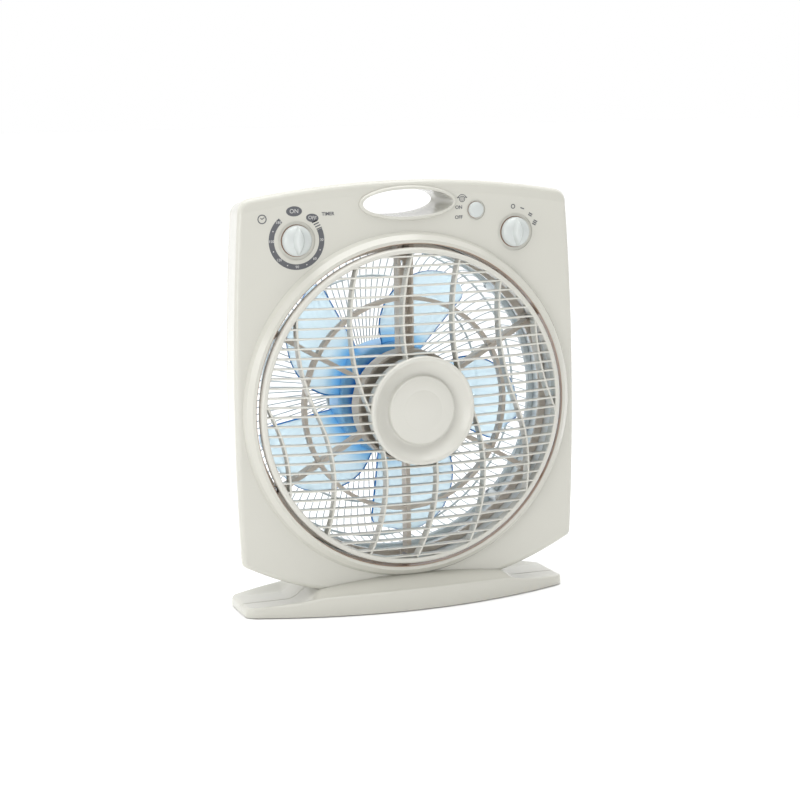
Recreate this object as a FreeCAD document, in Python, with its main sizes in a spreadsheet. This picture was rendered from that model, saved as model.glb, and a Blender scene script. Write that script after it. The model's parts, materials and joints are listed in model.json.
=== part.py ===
"""Thirty-centimetre box fan with a rotating louvre in front and a domed wire-style guard behind.

Millimetres. +Z is up and the fan blows towards -Y. The pieces are drawn about the plane where the
front and rear halves of the case meet, y = 0, and then carried forwards by origin_y, so that the
finished fan's origin is on the floor under the middle of its bounding box.
"""
import FreeCAD
import Part
import Sketcher
import math
import os

DIMENSIONS = {
    # how far the middle of the whole fan lies behind the seam of its case
    "origin_y": 13.0,
    # case, measured from the floor, with half-widths about x = 0
    "fan_height": 209.0,
    "case_top": 439.5,
    "case_bottom": 10.7,
    "top_corner_x": 176.0,
    "top_corner_z": 423.5,
    "low_corner_x": 182.0,
    "low_corner_z": 56.5,
    "side_bulge": 185.2,
    "side_bulge_z": 190.0,
    "wall": 2.5,
    "face_y": -32.0,
    "seam_y": 0.0,
    "seam_inset": 4.0,
    "back_y": 28.0,
    "back_inset": 7.0,
    "top_corner_round": 14.0,
    "low_corner_round": 7.0,
    "front_edge_round": 5.0,
    "back_edge_round": 7.0,
    # round opening, its raised collar and the air duct
    "collar_y": -42.0,
    "collar_foot": 178.0,
    "collar_crest": 170.0,
    "opening": 166.0,
    "rear_duct": 163.0,
    "duct_wall": 2.5,
    "flange_bore": 157.5,
    "flange_depth": 3.0,
    # handle opening
    "handle_z": 415.6,
    "handle_half_width": 48.5,
    "handle_half_height": 13.8,
    "handle_rim": 3.6,
    "handle_rim_y": -35.0,
    # controls
    "dial_x": 117.6,
    "dial_z": 382.0,
    "dial_radius": 16.6,
    "dial_front": -40.5,
    "dial_back": -32.4,
    "dial_grip_front": -45.5,
    "dial_grip_width": 6.4,
    "dish_radius": 19.2,
    "dish_depth": 1.0,
    "dial_shaft_radius": 3.0,
    "timer_size": 36.0,
    "speed_size": 30.0,
    "button_x": 74.2,
    "button_z": 406.0,
    "button_radius": 8.2,
    "button_front": -35.5,
    "button_gap": 0.4,
    "button_dish": 10.2,
    "plunger_radius": 2.5,
    # rotating louvre
    "louvre_ring": 162.5,
    "louvre_ring_width": 6.0,
    "louvre_ring_y": -43.0,
    "louvre_ring_depth": 8.0,
    "hub_radius": 55.5,
    "hub_y": -71.0,
    "dome_y": -67.0,
    "slat_pitch": 9.6,
    "slat_height": 1.7,
    "slat_depth": 7.0,
    "rib_width": 1.9,
    "rib_depth": 12.0,
    "rib_sway": 17.0,
    # impeller
    "impeller_radius": 144.0,
    "impeller_hub": 60.0,
    "impeller_wall": 2.5,
    "impeller_front": 17.0,
    "impeller_back": 51.0,
    "blade_thickness": 2.2,
    "blade_front": 18.5,
    "blade_back": 49.5,
    "shaft_radius": 4.0,
    "running_gap": 0.05,
    # front spider
    "spider_front": -24.0,
    "spider_back": -10.0,
    "cup_radius": 58.0,
    "cup_front": -37.0,
    "cup_wall": 2.5,
    "spider_ring": 109.0,
    "spoke_width": 4.6,
    "channel_width": 16.0,
    # rear guard
    "guard_rim": 162.6,
    "guard_rim_inner": 157.0,
    "guard_rim_y": 27.5,
    "guard_basket": 161.0,
    "guard_plate": 50.0,
    "guard_back": 97.0,
    "motor_front": 46.0,
    "guard_bar": 1.5,
    "guard_depth": 2.6,
    # base
    "base_half_length": 176.5,
    "base_half_depth": 60.0,
    "base_front_end_depth": 22.0,
    "base_rear_end_depth": 41.0,
    "wing_top": 11.0,
    "block_half_length": 108.0,
    "lip_top": 19.0,
    "crest_top": 31.0,
    "crest_y": -32.0,
    "crest_arch": 884.0,
    "base_underside": 1.0,
    "case_gap": 0.2,
    # fastenings
    "boss_radius": 5.0,
    "screw_radius": 1.75,
    "screw_head_radius": 3.6,
    "motor_screw_circle": 30.0,
    "pilot_gap": 0.1,
}

SLATS_EACH_SIDE = 16
RIB_PLACES = (-151.0, -107.0, -54.0, 0.0, 54.0, 107.0, 151.0)
GUARD_BARS = 112
GUARD_RINGS = (0.77, 0.985)
BLADES = 5
BLADE_TURN = 72.0
BLADE_OUTLINE = (
    (57, -25, 30), (88, -25, 26), (107, -25, 20), (122, -24.5, 12), (137, -23, 4), (150, -20, -4),
)
BASKET_ROUND = 3.0
BASKET_FLAT = 5.64
SPOKES = 6
SPIDER_SLOTS = (92, 140)
GLAND_PLACE = (-128, 62)
CASE_SCREWS = ((-158, 398), (158, 398), (-68, 425), (68, 425), (-158, 78), (158, 78), (-60, 27), (60, 27))
BASE_SCREWS = ((-30, -17), (30, -17), (-30, 15), (30, 15))
GUARD_SCREW_ANGLES = (45, 135, 225, 315)
MOTOR_SCREW_ANGLES = (45, 135, 225, 315)
FOOT_PLACES = ((-158, -16), (158, -16), (-158, 16), (158, 16))

doc = FreeCAD.newDocument("box_fan")
sheet = doc.addObject("Spreadsheet::Sheet", "dims")
for row, (alias, number) in enumerate(DIMENSIONS.items(), start=1):
    sheet.set(f"A{row}", alias)
    sheet.set(f"B{row}", str(number))
    sheet.setAlias(f"B{row}", alias)
doc.recompute()

Vector = FreeCAD.Vector
ALONG_Y = FreeCAD.Rotation(Vector(1, 0, 0), -90)
finished = []


def value(expression):
    """The number that an expression in the sheet's names gives now."""
    return float(sheet.evalExpression(str(expression)))


def dim(name):
    return sheet.get(name)


def bind(item, **expressions):
    """Bind properties to the sheet; __ in a name stands for a dot."""
    for name, expression in expressions.items():
        item.setExpression(name.replace("__", "."), str(expression))
    return item


def keep(item, label):
    """Make an object a finished sub-part: carried to the fan's own origin and given its label."""
    item.Label = f"{label}_as_drawn"
    placed = doc.addObject("Part::Compound", f"{label}_placed")
    placed.Label = label
    placed.Links = [item]
    finished.append(bind(placed, Placement__Base__y="-dims.origin_y"))


# ---------------------------------------------------------------- primitives and booleans

def rod(radius, y_from, y_to, x="0", z="dims.fan_height", label="rod"):
    """A cylinder along Y."""
    item = doc.addObject("Part::Cylinder", label)
    item.Placement = FreeCAD.Placement(Vector(), ALONG_Y)
    bind(item, Radius=radius, Height=f"({y_to}) - ({y_from})")
    return bind(item, Placement__Base__x=x, Placement__Base__y=y_from, Placement__Base__z=z)


def post(radius, z_from, z_to, x="0", y="0", label="post"):
    """A cylinder along Z."""
    item = doc.addObject("Part::Cylinder", label)
    bind(item, Radius=radius, Height=f"({z_to}) - ({z_from})")
    return bind(item, Placement__Base__x=x, Placement__Base__y=y, Placement__Base__z=z_from)


def block(x_span, y_span, z_span, label="block"):
    """A box between pairs of expressions."""
    item = doc.addObject("Part::Box", label)
    for size, axis, (low, high) in zip(("Length", "Width", "Height"), "xyz", (x_span, y_span, z_span)):
        item.setExpression(size, f"({high}) - ({low})")
        item.setExpression(f"Placement.Base.{axis}", str(low))
    return item


def fuse(*pieces, label="fused"):
    """Join pieces one after another."""
    joined = pieces[0]
    for piece in pieces[1:]:
        item = doc.addObject("Part::Fuse", label)
        item.Base = joined
        item.Tool = piece
        joined = item
    return joined


def weld(*pieces, label="welded"):
    """Join many pieces in a single step."""
    item = doc.addObject("Part::MultiFuse", label)
    item.Shapes = list(pieces)
    return item


def group(*pieces, label="group"):
    """Separate solids held in one object."""
    item = doc.addObject("Part::Compound", label)
    item.Links = list(pieces)
    return item


def cut(base, *tools, label="cut"):
    item = doc.addObject("Part::Cut", label)
    item.Base = base
    item.Tool = fuse(*tools)
    return item


def common(first, second, label="common"):
    item = doc.addObject("Part::Common", label)
    item.Base = first
    item.Tool = second
    return item


def tube(outer, inner, y_from, y_to, x="0", z="dims.fan_height", label="tube"):
    return cut(rod(outer, y_from, y_to, x, z), rod(inner, f"{y_from} - 1", f"{y_to} + 1", x, z), label=label)


def round_edges(source, radius, chosen, label="rounded"):
    """Round the edges of a finished shape that the test picks."""
    doc.recompute()
    edges = [number for number, edge in enumerate(source.Shape.Edges, start=1) if chosen(edge)]
    item = doc.addObject("Part::Fillet", label)
    item.Base = source
    item.Edges = [(number, radius, radius) for number in edges]
    return item


def around(item, angle, label="turned_copy"):
    """A linked copy of a piece, turned about the fan's axis."""
    copy = doc.addObject("Part::Compound", label)
    copy.Links = [item]
    turn = FreeCAD.Rotation(Vector(0, 1, 0), angle)
    centre = Vector(0, 0, dim("fan_height"))
    copy.Placement = FreeCAD.Placement(centre - turn.multVec(centre), turn)
    return copy


# ---------------------------------------------------------------- sketches

def polygon(sketch, corners):
    """Draw a closed outline whose corners are pairs of expressions."""
    points = [Vector(value(across), value(up), 0) for across, up in corners]
    count = len(points)
    for number in range(count):
        sketch.addGeometry(Part.LineSegment(points[number], points[(number + 1) % count]), False)
    for number in range(count):
        sketch.addConstraint(Sketcher.Constraint("Coincident", number, 2, (number + 1) % count, 1))
    for number, (across, up) in enumerate(corners):
        for kind, expression in (("DistanceX", across), ("DistanceY", up)):
            index = sketch.addConstraint(Sketcher.Constraint(kind, -1, 1, number, 1, value(expression)))
            sketch.setExpression(f"Constraints[{index}]", str(expression))


def body_sketch(body, role, label):
    plane = next(item for item in body.Origin.OriginFeatures if item.Role == role)
    sketch = body.newObject("Sketcher::SketchObject", label)
    sketch.AttachmentSupport = [(plane, "")]
    sketch.MapMode = "FlatFace"
    return sketch


def turned(profile, label, x="0", z="dims.fan_height"):
    """A PartDesign body turned about an axis along Y; the profile is (radius, y) pairs."""
    body = doc.addObject("PartDesign::Body", label)
    sketch = body_sketch(body, "XZ_Plane", f"{label}_profile")
    polygon(sketch, profile)
    turn = body.newObject("PartDesign::Revolution", f"{label}_turn")
    turn.Profile = sketch
    turn.ReferenceAxis = (sketch, ["V_Axis"])
    turn.Angle = 360
    body.Placement = FreeCAD.Placement(Vector(), ALONG_Y)
    return bind(body, Placement__Base__x=x, Placement__Base__z=z)


def ellipse_rod(grow, y_from, y_to, label="ellipse_rod"):
    """The handle opening's ellipse, grown all round and carried along Y."""
    curve = doc.addObject("Part::Ellipse", f"{label}_curve")
    curve.Placement = FreeCAD.Placement(Vector(), ALONG_Y)
    bind(curve, MajorRadius=f"dims.handle_half_width + ({grow})")
    bind(curve, MinorRadius=f"dims.handle_half_height + ({grow})")
    bind(curve, Placement__Base__y=y_from, Placement__Base__z="dims.handle_z")
    solid = doc.addObject("Part::Extrusion", label)
    solid.Base = curve
    solid.DirMode = "Custom"
    solid.Dir = Vector(0, 1, 0)
    solid.Solid = True
    return bind(solid, LengthFwd=f"({y_to}) - ({y_from})")


# ---------------------------------------------------------------- case

def case_outline(inset, y, label):
    """The case seen from the front: four gentle arcs, drawn in by an inset."""
    sketch = doc.addObject("Sketcher::SketchObject", label)
    sketch.Placement = FreeCAD.Placement(Vector(), FreeCAD.Rotation(Vector(1, 0, 0), 90))
    bind(sketch, Placement__Base__y=y)
    corners = (
        (f"dims.low_corner_x - ({inset})", f"dims.low_corner_z + ({inset})"),
        (f"dims.top_corner_x - ({inset})", f"dims.top_corner_z - ({inset})"),
        (f"-dims.top_corner_x + ({inset})", f"dims.top_corner_z - ({inset})"),
        (f"-dims.low_corner_x + ({inset})", f"dims.low_corner_z + ({inset})"),
    )
    middles = (
        (f"dims.side_bulge - ({inset})", "dims.side_bulge_z"),
        ("0", f"dims.case_top - ({inset})"),
        (f"-dims.side_bulge + ({inset})", "dims.side_bulge_z"),
        ("0", f"dims.case_bottom + ({inset})"),
    )
    for number in range(4):
        start = corners[number]
        end = corners[(number + 1) % 4]
        points = [Vector(value(across), value(up), 0) for across, up in (start, middles[number], end)]
        sketch.addGeometry(Part.Arc(*points), False)
        sketch.addGeometry(Part.Point(points[1]), True)
    for number in range(4):
        arc = 2 * number
        point = arc + 1
        following = (arc + 2) % 8
        here, there = joined_ends(sketch, arc, following)
        sketch.addConstraint(Sketcher.Constraint("Coincident", arc, here, following, there))
        sketch.addConstraint(Sketcher.Constraint("PointOnObject", point, 1, arc))
        hold_point(sketch, point, 1, middles[number])
        hold_point(sketch, following, there, corners[(number + 1) % 4])
    return sketch


def joined_ends(sketch, first, second):
    """Which end of one arc meets which end of the next."""
    ends = {1: "StartPoint", 2: "EndPoint"}
    for here, here_name in ends.items():
        for there, there_name in ends.items():
            gap = getattr(sketch.Geometry[first], here_name) - getattr(sketch.Geometry[second], there_name)
            if gap.Length < 0.01:
                return here, there
    raise ValueError("arcs do not meet")


def hold_point(sketch, geometry, end, place):
    for kind, expression in (("DistanceX", place[0]), ("DistanceY", place[1])):
        index = sketch.addConstraint(Sketcher.Constraint(kind, -1, 1, geometry, end, value(expression)))
        sketch.setExpression(f"Constraints[{index}]", str(expression))


def case_block(y_from, inset_from, y_to, inset_to, label):
    """The tapering case between two planes, with its long corners rounded."""
    loft = doc.addObject("Part::Loft", f"{label}_loft")
    loft.Sections = [
        case_outline(inset_from, y_from, f"{label}_near"),
        case_outline(inset_to, y_to, f"{label}_far"),
    ]
    loft.Solid = True
    loft.Ruled = True
    upper = round_edges(loft, dim("top_corner_round"), lambda edge: is_long_corner(edge, True))
    return round_edges(upper, dim("low_corner_round"), lambda edge: is_long_corner(edge, False), label=label)


def is_long_corner(edge, upper):
    """A corner edge that runs from front to back, above or below the fan's axis."""
    if len(edge.Vertexes) != 2:
        return False
    first, second = (vertex.Point for vertex in edge.Vertexes)
    sharp = abs(first.y - second.y) > 10 and abs(first.x - second.x) < 12
    beyond_rounds = dim("top_corner_z") - 14 if upper else dim("low_corner_z") + 14
    if upper:
        return sharp and first.z > beyond_rounds
    return sharp and first.z < beyond_rounds


def in_plane(edge, y):
    return all(abs(vertex.Point.y - y) < 0.01 for vertex in edge.Vertexes)


def at(place):
    return {"x": str(place[0]), "z": str(place[1])}


def front_shell():
    """Front half: face, raised collar, handle rim, duct, control holes and screw pillars."""
    skin = case_block("dims.face_y", "0", "dims.seam_y", "dims.seam_inset", "front_block")
    skin = round_edges(skin, dim("front_edge_round"), lambda edge: in_plane(edge, dim("face_y")))
    cavity = case_block("dims.face_y + dims.wall", "dims.wall", "dims.seam_y + 0.5",
                        "dims.seam_inset + dims.wall", "front_cavity")
    collar = turned(
        (
            ("dims.opening - 1", "dims.collar_y + 1.5"),
            ("dims.opening + 1", "dims.collar_y"),
            ("dims.collar_crest", "dims.collar_y + 0.4"),
            ("dims.collar_foot - 3", "dims.collar_y + 5"),
            ("dims.collar_foot", "dims.face_y + 0.5"),
            ("dims.opening - 1", "dims.face_y + 0.5"),
        ), "collar")
    duct = rod("dims.opening + dims.duct_wall", "dims.face_y + 1", "dims.seam_y - 0.1")
    handle_tunnel = ellipse_rod("2.2", "dims.face_y + 1", "dims.seam_y - 0.1", "front_tunnel")
    handle_rim = ellipse_rod("dims.handle_rim", "dims.handle_rim_y", "dims.face_y + 1", "handle_rim")
    handle_rim = round_edges(handle_rim, 2.0, lambda edge: in_plane(edge, dim("handle_rim_y")))
    pillars = [rod("dims.boss_radius", "dims.face_y + 1", "dims.seam_y - 0.1", **at(place))
               for place in CASE_SCREWS]
    base_pillars = [post("dims.boss_radius", 14.9, 30, x=x, y=y) for x, y in BASE_SCREWS if y < 0]
    solid = fuse(cut(skin, cavity), collar, duct, handle_tunnel, handle_rim, *pillars, *base_pillars)
    holes = [
        rod("dims.opening", "dims.collar_y - 5", "dims.seam_y + 1"),
        ellipse_rod("0", "dims.handle_rim_y - 5", "dims.seam_y + 1", "front_handle_hole"),
        rod("dims.button_radius + dims.button_gap", "dims.face_y - 5", "dims.face_y + 5",
            "dims.button_x", "dims.button_z"),
        rod("dims.button_dish", "dims.face_y - 5", "dims.face_y + 0.8", "dims.button_x", "dims.button_z"),
    ]
    for side in ("-dims.dial_x", "dims.dial_x"):
        holes.append(rod("dims.dial_shaft_radius + 1", "dims.face_y - 5", "dims.face_y + 5",
                         side, "dims.dial_z"))
        holes.append(rod("dims.dish_radius", "dims.face_y - 5", "dims.face_y + dims.dish_depth",
                         side, "dims.dial_z"))
    holes += [rod("dims.screw_radius + dims.pilot_gap", "dims.seam_y - 18.5", "dims.seam_y + 1", **at(place))
              for place in CASE_SCREWS]
    holes += [post("dims.screw_radius + dims.pilot_gap", 5, 26, x=x, y=y) for x, y in BASE_SCREWS if y < 0]
    keep(cut(solid, *holes), "front_shell")


def rear_shell():
    """Rear half: tapering shell, duct, flange for the spider, and deep screw wells."""
    skin = case_block("dims.seam_y", "dims.seam_inset", "dims.back_y", "dims.back_inset", "rear_block")
    skin = round_edges(skin, dim("back_edge_round"), lambda edge: in_plane(edge, dim("back_y")))
    cavity = case_block("dims.seam_y - 0.5", "dims.seam_inset + dims.wall", "dims.back_y - dims.wall",
                        "dims.back_inset + dims.wall", "rear_cavity")
    duct = rod("dims.rear_duct + dims.duct_wall", "dims.seam_y", "dims.back_y - 1")
    tunnel = ellipse_rod("2.2", "dims.seam_y", "dims.back_y - 1", "rear_tunnel")
    wells = [rod("dims.boss_radius", "dims.seam_y", "dims.back_y - 1", **at(place)) for place in CASE_SCREWS]
    guard_lugs = [around(rod("dims.boss_radius", "dims.seam_y", "dims.back_y - 6",
                             "dims.rear_duct - 4", "dims.fan_height"), angle) for angle in GUARD_SCREW_ANGLES]
    base_pillars = [post("dims.boss_radius", 18.6, 30, x=x, y=y) for x, y in BASE_SCREWS if y > 0]
    solid = fuse(cut(skin, cavity), duct, tunnel, *wells, *base_pillars)
    holes = [
        rod("dims.rear_duct", "dims.seam_y + dims.flange_depth", "dims.back_y + 1"),
        rod("dims.flange_bore", "dims.seam_y - 1", "dims.back_y + 1"),
        ellipse_rod("0", "dims.seam_y - 1", "dims.back_y + 1", "rear_handle_hole"),
        rod(6, "dims.back_y - 6", "dims.back_y + 1", **at(GLAND_PLACE)),
    ]
    for place in CASE_SCREWS:
        holes.append(rod("dims.screw_radius + dims.pilot_gap", "dims.seam_y - 1", "dims.back_y", **at(place)))
        holes.append(rod("dims.screw_head_radius + 0.5", "dims.seam_y + 7", "dims.back_y + 1", **at(place)))
    holes += [post("dims.screw_radius + dims.pilot_gap", 5, 26, x=x, y=y) for x, y in BASE_SCREWS if y > 0]
    holes += [around(rod("dims.screw_radius + dims.pilot_gap", "dims.seam_y - 1", "dims.seam_y + 6",
                         "dims.flange_bore + 3.4", "dims.fan_height"), angle)
              for angle in spoke_angles()]
    shell = cut(solid, *holes)
    lug_holes = [around(rod("dims.screw_radius + dims.pilot_gap", "dims.seam_y + 4", "dims.back_y",
                            "dims.rear_duct - 4", "dims.fan_height"), angle) for angle in GUARD_SCREW_ANGLES]
    keep(cut(fuse(shell, *guard_lugs), *lug_holes), "rear_shell")


def spoke_angles():
    """Angles about the fan's axis that put one spoke straight up."""
    return [-90 + number * 360 / SPOKES for number in range(SPOKES)]


# ---------------------------------------------------------------- front spider

def front_spider():
    """Cup, ring and six spokes between the louvre and the impeller, on a thin outer ring."""
    cup = turned(
        (
            ("0", "dims.cup_front + 23"), ("dims.cup_radius - dims.cup_wall - 3", "dims.cup_front + 23"),
            ("dims.cup_radius - dims.cup_wall", "dims.cup_front + 20"),
            ("dims.cup_radius - dims.cup_wall", "dims.cup_front"), ("dims.cup_radius", "dims.cup_front"),
            ("dims.cup_radius", "dims.cup_front + 21"), ("dims.cup_radius - 4", "dims.cup_front + 25.5"),
            ("0", "dims.cup_front + 25.5"),
        ), "spider_cup")
    inner_ring = tube("dims.spider_ring + 2", "dims.spider_ring - 2",
                      "dims.spider_front + 3", "dims.spider_back - 2")
    outer_ring = tube("dims.opening - 0.7", "dims.flange_bore", "dims.seam_y - 3.2", "dims.seam_y - 0.2")
    spokes = []
    for angle in spoke_angles()[1:]:
        arm = block(("dims.cup_radius - 1.5", "dims.opening - 2"),
                    ("dims.spider_front + 1", "dims.spider_back"),
                    ("dims.fan_height - dims.spoke_width * 0.5", "dims.fan_height + dims.spoke_width * 0.5"))
        heel = block(("dims.flange_bore - 3", "dims.opening - 2"),
                     ("dims.spider_back - 1", "dims.seam_y - 0.2"),
                     ("dims.fan_height - dims.spoke_width", "dims.fan_height + dims.spoke_width"))
        spokes.append(around(fuse(arm, heel), angle))
    half = "dims.channel_width * 0.5"
    channel = block((f"-{half}", half), ("dims.spider_front", "dims.spider_back"),
                    ("dims.fan_height + dims.cup_radius - 2", "dims.fan_height + dims.opening - 2"))
    heel = block((f"-{half}", half), ("dims.spider_back - 1", "dims.seam_y - 0.2"),
                 ("dims.fan_height + dims.flange_bore - 3", "dims.fan_height + dims.opening - 2"))
    groove = block((f"-{half} + 2", f"{half} - 2"), ("dims.spider_front - 1", "dims.spider_back - 3"),
                   ("dims.fan_height + dims.cup_radius + 2", "dims.fan_height + dims.opening - 8"))
    slots = []
    for height in SPIDER_SLOTS:
        slots.append(block((-1.5, 1.5), ("dims.spider_back - 5", "dims.spider_back + 1"),
                           (f"dims.fan_height + {height}", f"dims.fan_height + {height} + 7")))
    spider = cut(fuse(cup, inner_ring, outer_ring, channel, heel, *spokes), groove, *slots)
    trim = rod("dims.opening - 0.7", "dims.cup_front - 5", "dims.seam_y + 5")
    holes = [rod("4", "dims.cup_front - 1", "dims.seam_y")]
    for angle in spoke_angles():
        holes.append(around(rod("dims.screw_radius + dims.pilot_gap", "dims.spider_front - 1",
                                "dims.seam_y + 1", "dims.flange_bore + 3.4"), angle))
        holes.append(around(rod("dims.screw_head_radius + 0.4", "dims.spider_front - 1",
                                "dims.seam_y - 5", "dims.flange_bore + 3.4"), angle))
    keep(cut(common(spider, trim), *holes), "front_spider")


# ---------------------------------------------------------------- rear guard

def rear_guard():
    """Basket-shaped guard: many thin bars, two hoops, a rim ring and the plate that carries the motor."""
    bow = doc.addObject("Sketcher::SketchObject", "guard_bar_outline")
    polygon(bow, guard_path(0) + guard_path(dim("guard_depth"))[::-1])
    bind(bow, Placement__Base__z="dims.fan_height - dims.guard_bar * 0.5")
    bars = []
    for number in range(GUARD_BARS):
        bar = doc.addObject("Part::Extrusion", "guard_bar")
        bar.Base = bow
        bar.DirMode = "Custom"
        bar.Dir = Vector(0, 0, 1)
        bar.Solid = True
        bind(bar, LengthFwd="dims.guard_bar")
        bars.append(around(bar, (number + 0.5) * 360 / GUARD_BARS))
    hoops = []
    for share in GUARD_RINGS:
        radius, middle = guard_point(share, dim("guard_depth") / 2)
        hoops.append(tube(radius + 0.9, radius - 0.9, middle - 1.2, middle + 1.2))
    keep(weld(group(*bars), *hoops, guard_rim(), guard_plate()), "rear_guard")


def guard_point(share, inward):
    """Radius and y of the basket's surface where the radius is a share of its rim, drawn in by a distance.

    The basket's half section is a superellipse, nearly upright at the rim and nearly flat at the plate.
    """
    rim, start = dim("guard_basket"), dim("guard_rim_y")
    reach = dim("guard_back") - start
    rise = (1 - share ** BASKET_ROUND) ** (1 / BASKET_FLAT)
    normal = Vector(BASKET_ROUND * share ** (BASKET_ROUND - 1) / rim,
                    BASKET_FLAT * rise ** (BASKET_FLAT - 1) / reach, 0)
    normal.normalize()
    return rim * share - inward * normal.x, start + reach * rise - inward * normal.y


def guard_path(inward):
    """Corners of a bar's edge from the rim to the plate, as sketch expressions."""
    innermost = (dim("guard_plate") - 1) / dim("guard_basket")
    shares = (1, 0.9995, 0.997, 0.985, 0.965, 0.93, 0.87, 0.77, 0.65, 0.5, innermost)
    return [tuple(f"{number:.3f}" for number in guard_point(share, inward)) for share in shares]


def guard_rim():
    """Outer ring of the guard, with four screw pads."""
    ring = turned((
        ("dims.guard_rim_inner", "dims.guard_rim_y - 4.5"), ("dims.guard_rim", "dims.guard_rim_y - 4.5"),
        ("dims.guard_rim", "dims.guard_rim_y + 1"), ("dims.guard_rim - 1.5", "dims.guard_rim_y + 2.5"),
        ("dims.guard_rim_inner", "dims.guard_rim_y + 2.5"),
    ), "guard_ring")
    pads = [around(rod("dims.boss_radius", "dims.guard_rim_y - 4.5", "dims.guard_rim_y + 2",
                       "dims.rear_duct - 4"), angle) for angle in GUARD_SCREW_ANGLES]
    holes = [around(rod("dims.screw_radius + dims.pilot_gap", 15, 40, "dims.rear_duct - 4"), angle)
             for angle in GUARD_SCREW_ANGLES]
    return cut(common(fuse(ring, *pads), rod("dims.guard_rim", "dims.seam_y", "dims.guard_back")), *holes)


def guard_plate():
    """Round plate in the middle of the guard, drilled for the motor's screws."""
    plate = turned((
        ("0", "dims.guard_back - 4"), ("dims.guard_plate - 4", "dims.guard_back - 4"),
        ("dims.guard_plate - 4", "dims.guard_back - 6"), ("dims.guard_plate + 0.5", "dims.guard_back - 6"),
        ("dims.guard_plate + 0.5", "dims.guard_back - 1"), ("dims.guard_plate - 1", "dims.guard_back"),
        ("dims.guard_plate - 7", "dims.guard_back"), ("dims.guard_plate - 8", "dims.guard_back - 0.8"),
        ("0", "dims.guard_back - 0.8"),
    ), "guard_disc")
    holes = []
    for angle in MOTOR_SCREW_ANGLES:
        holes.append(around(rod("dims.screw_radius + dims.pilot_gap", "dims.guard_back - 11",
                                "dims.guard_back + 4", "dims.motor_screw_circle"), angle))
        holes.append(around(rod("dims.screw_head_radius + 0.4", "dims.guard_back - 2.3",
                                "dims.guard_back + 4", "dims.motor_screw_circle"), angle))
    return cut(plate, *holes)


def louvre_y(radius):
    """Front surface of the louvre's dome at a distance from the axis."""
    hub = dim("hub_radius")
    ring = dim("louvre_ring") - dim("louvre_ring_width")
    share = (radius ** 2 - hub ** 2) / (ring ** 2 - hub ** 2)
    return dim("dome_y") + (dim("louvre_ring_y") - dim("dome_y")) * share


def dome_band(inner, outer, steps, surface, depth):
    """Half section of a dome of even depth, whose surface is a function of the radius."""
    low, high = value(inner), value(outer)
    radii = [low + (high - low) * step / steps for step in range(steps + 1)]
    facing = [(f"{radius:.3f}", f"{surface(radius):.3f}") for radius in radii]
    behind = [(f"{radius:.3f}", f"{surface(radius) - depth:.3f}") for radius in reversed(radii)]
    return facing + behind


# ---------------------------------------------------------------- rotating louvre

def louvre_grille():
    """Domed ring of level slats crossed by seven S-shaped ribs, on a short hub."""
    inner, outer = "dims.hub_radius - 1.5", "dims.louvre_ring - dims.louvre_ring_width + 1"
    slat_layer = turned(dome_band(inner, outer, 8, louvre_y, -dim("slat_depth")), "slat_layer")
    rib_layer = turned(dome_band(inner, outer, 8, lambda radius: louvre_y(radius) + 0.4, -dim("rib_depth")),
                       "rib_layer")
    slats = []
    for number in range(-SLATS_EACH_SIDE, SLATS_EACH_SIDE + 1):
        middle = f"dims.fan_height + dims.slat_pitch * {number}"
        slats.append(block(("-dims.louvre_ring", "dims.louvre_ring"),
                           ("dims.hub_y", "dims.louvre_ring_y + 20"),
                           (f"{middle} - dims.slat_height * 0.5", f"{middle} + dims.slat_height * 0.5"),
                           label="slat"))
    ribs = [half_rib(place, side) for place in RIB_PLACES for side in (1, -1)]
    ring = turned((
        ("dims.louvre_ring - dims.louvre_ring_width", "dims.louvre_ring_y + 1"),
        ("dims.louvre_ring - dims.louvre_ring_width + 1.5", "dims.louvre_ring_y - 0.3"),
        ("dims.louvre_ring - 2", "dims.louvre_ring_y + 0.4"),
        ("dims.louvre_ring", "dims.louvre_ring_y + 2.5"),
        ("dims.louvre_ring", "dims.louvre_ring_y + dims.louvre_ring_depth"),
        ("dims.louvre_ring - 2", "dims.louvre_ring_y + dims.louvre_ring_depth"),
        ("dims.louvre_ring - 2", "dims.louvre_ring_y + 3.5"),
        ("dims.louvre_ring - dims.louvre_ring_width", "dims.louvre_ring_y + 8"),
    ), "louvre_rim")
    hub = turned((
        ("2.55", "dims.hub_y + 10"), ("dims.hub_radius - 3", "dims.hub_y + 10"),
        ("dims.hub_radius - 3", "dims.hub_y + 4"), ("dims.hub_radius - 0.6", "dims.hub_y + 4"),
        ("dims.hub_radius - 0.6", "dims.hub_y + 15"), ("dims.hub_radius - 3", "dims.hub_y + 15"),
        ("dims.hub_radius - 3", "dims.hub_y + 12"), ("34", "dims.hub_y + 12"), ("34", "dims.hub_y + 30"),
        ("32", "dims.hub_y + 30"), ("32", "dims.hub_y + 12"), ("6", "dims.hub_y + 12"),
        ("6", "dims.hub_y + 26"), ("2.55", "dims.hub_y + 26"),
    ), "louvre_hub")
    keep(weld(common(group(*slats), slat_layer), common(group(*ribs), rib_layer), ring, hub), "louvre_grille")


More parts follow.
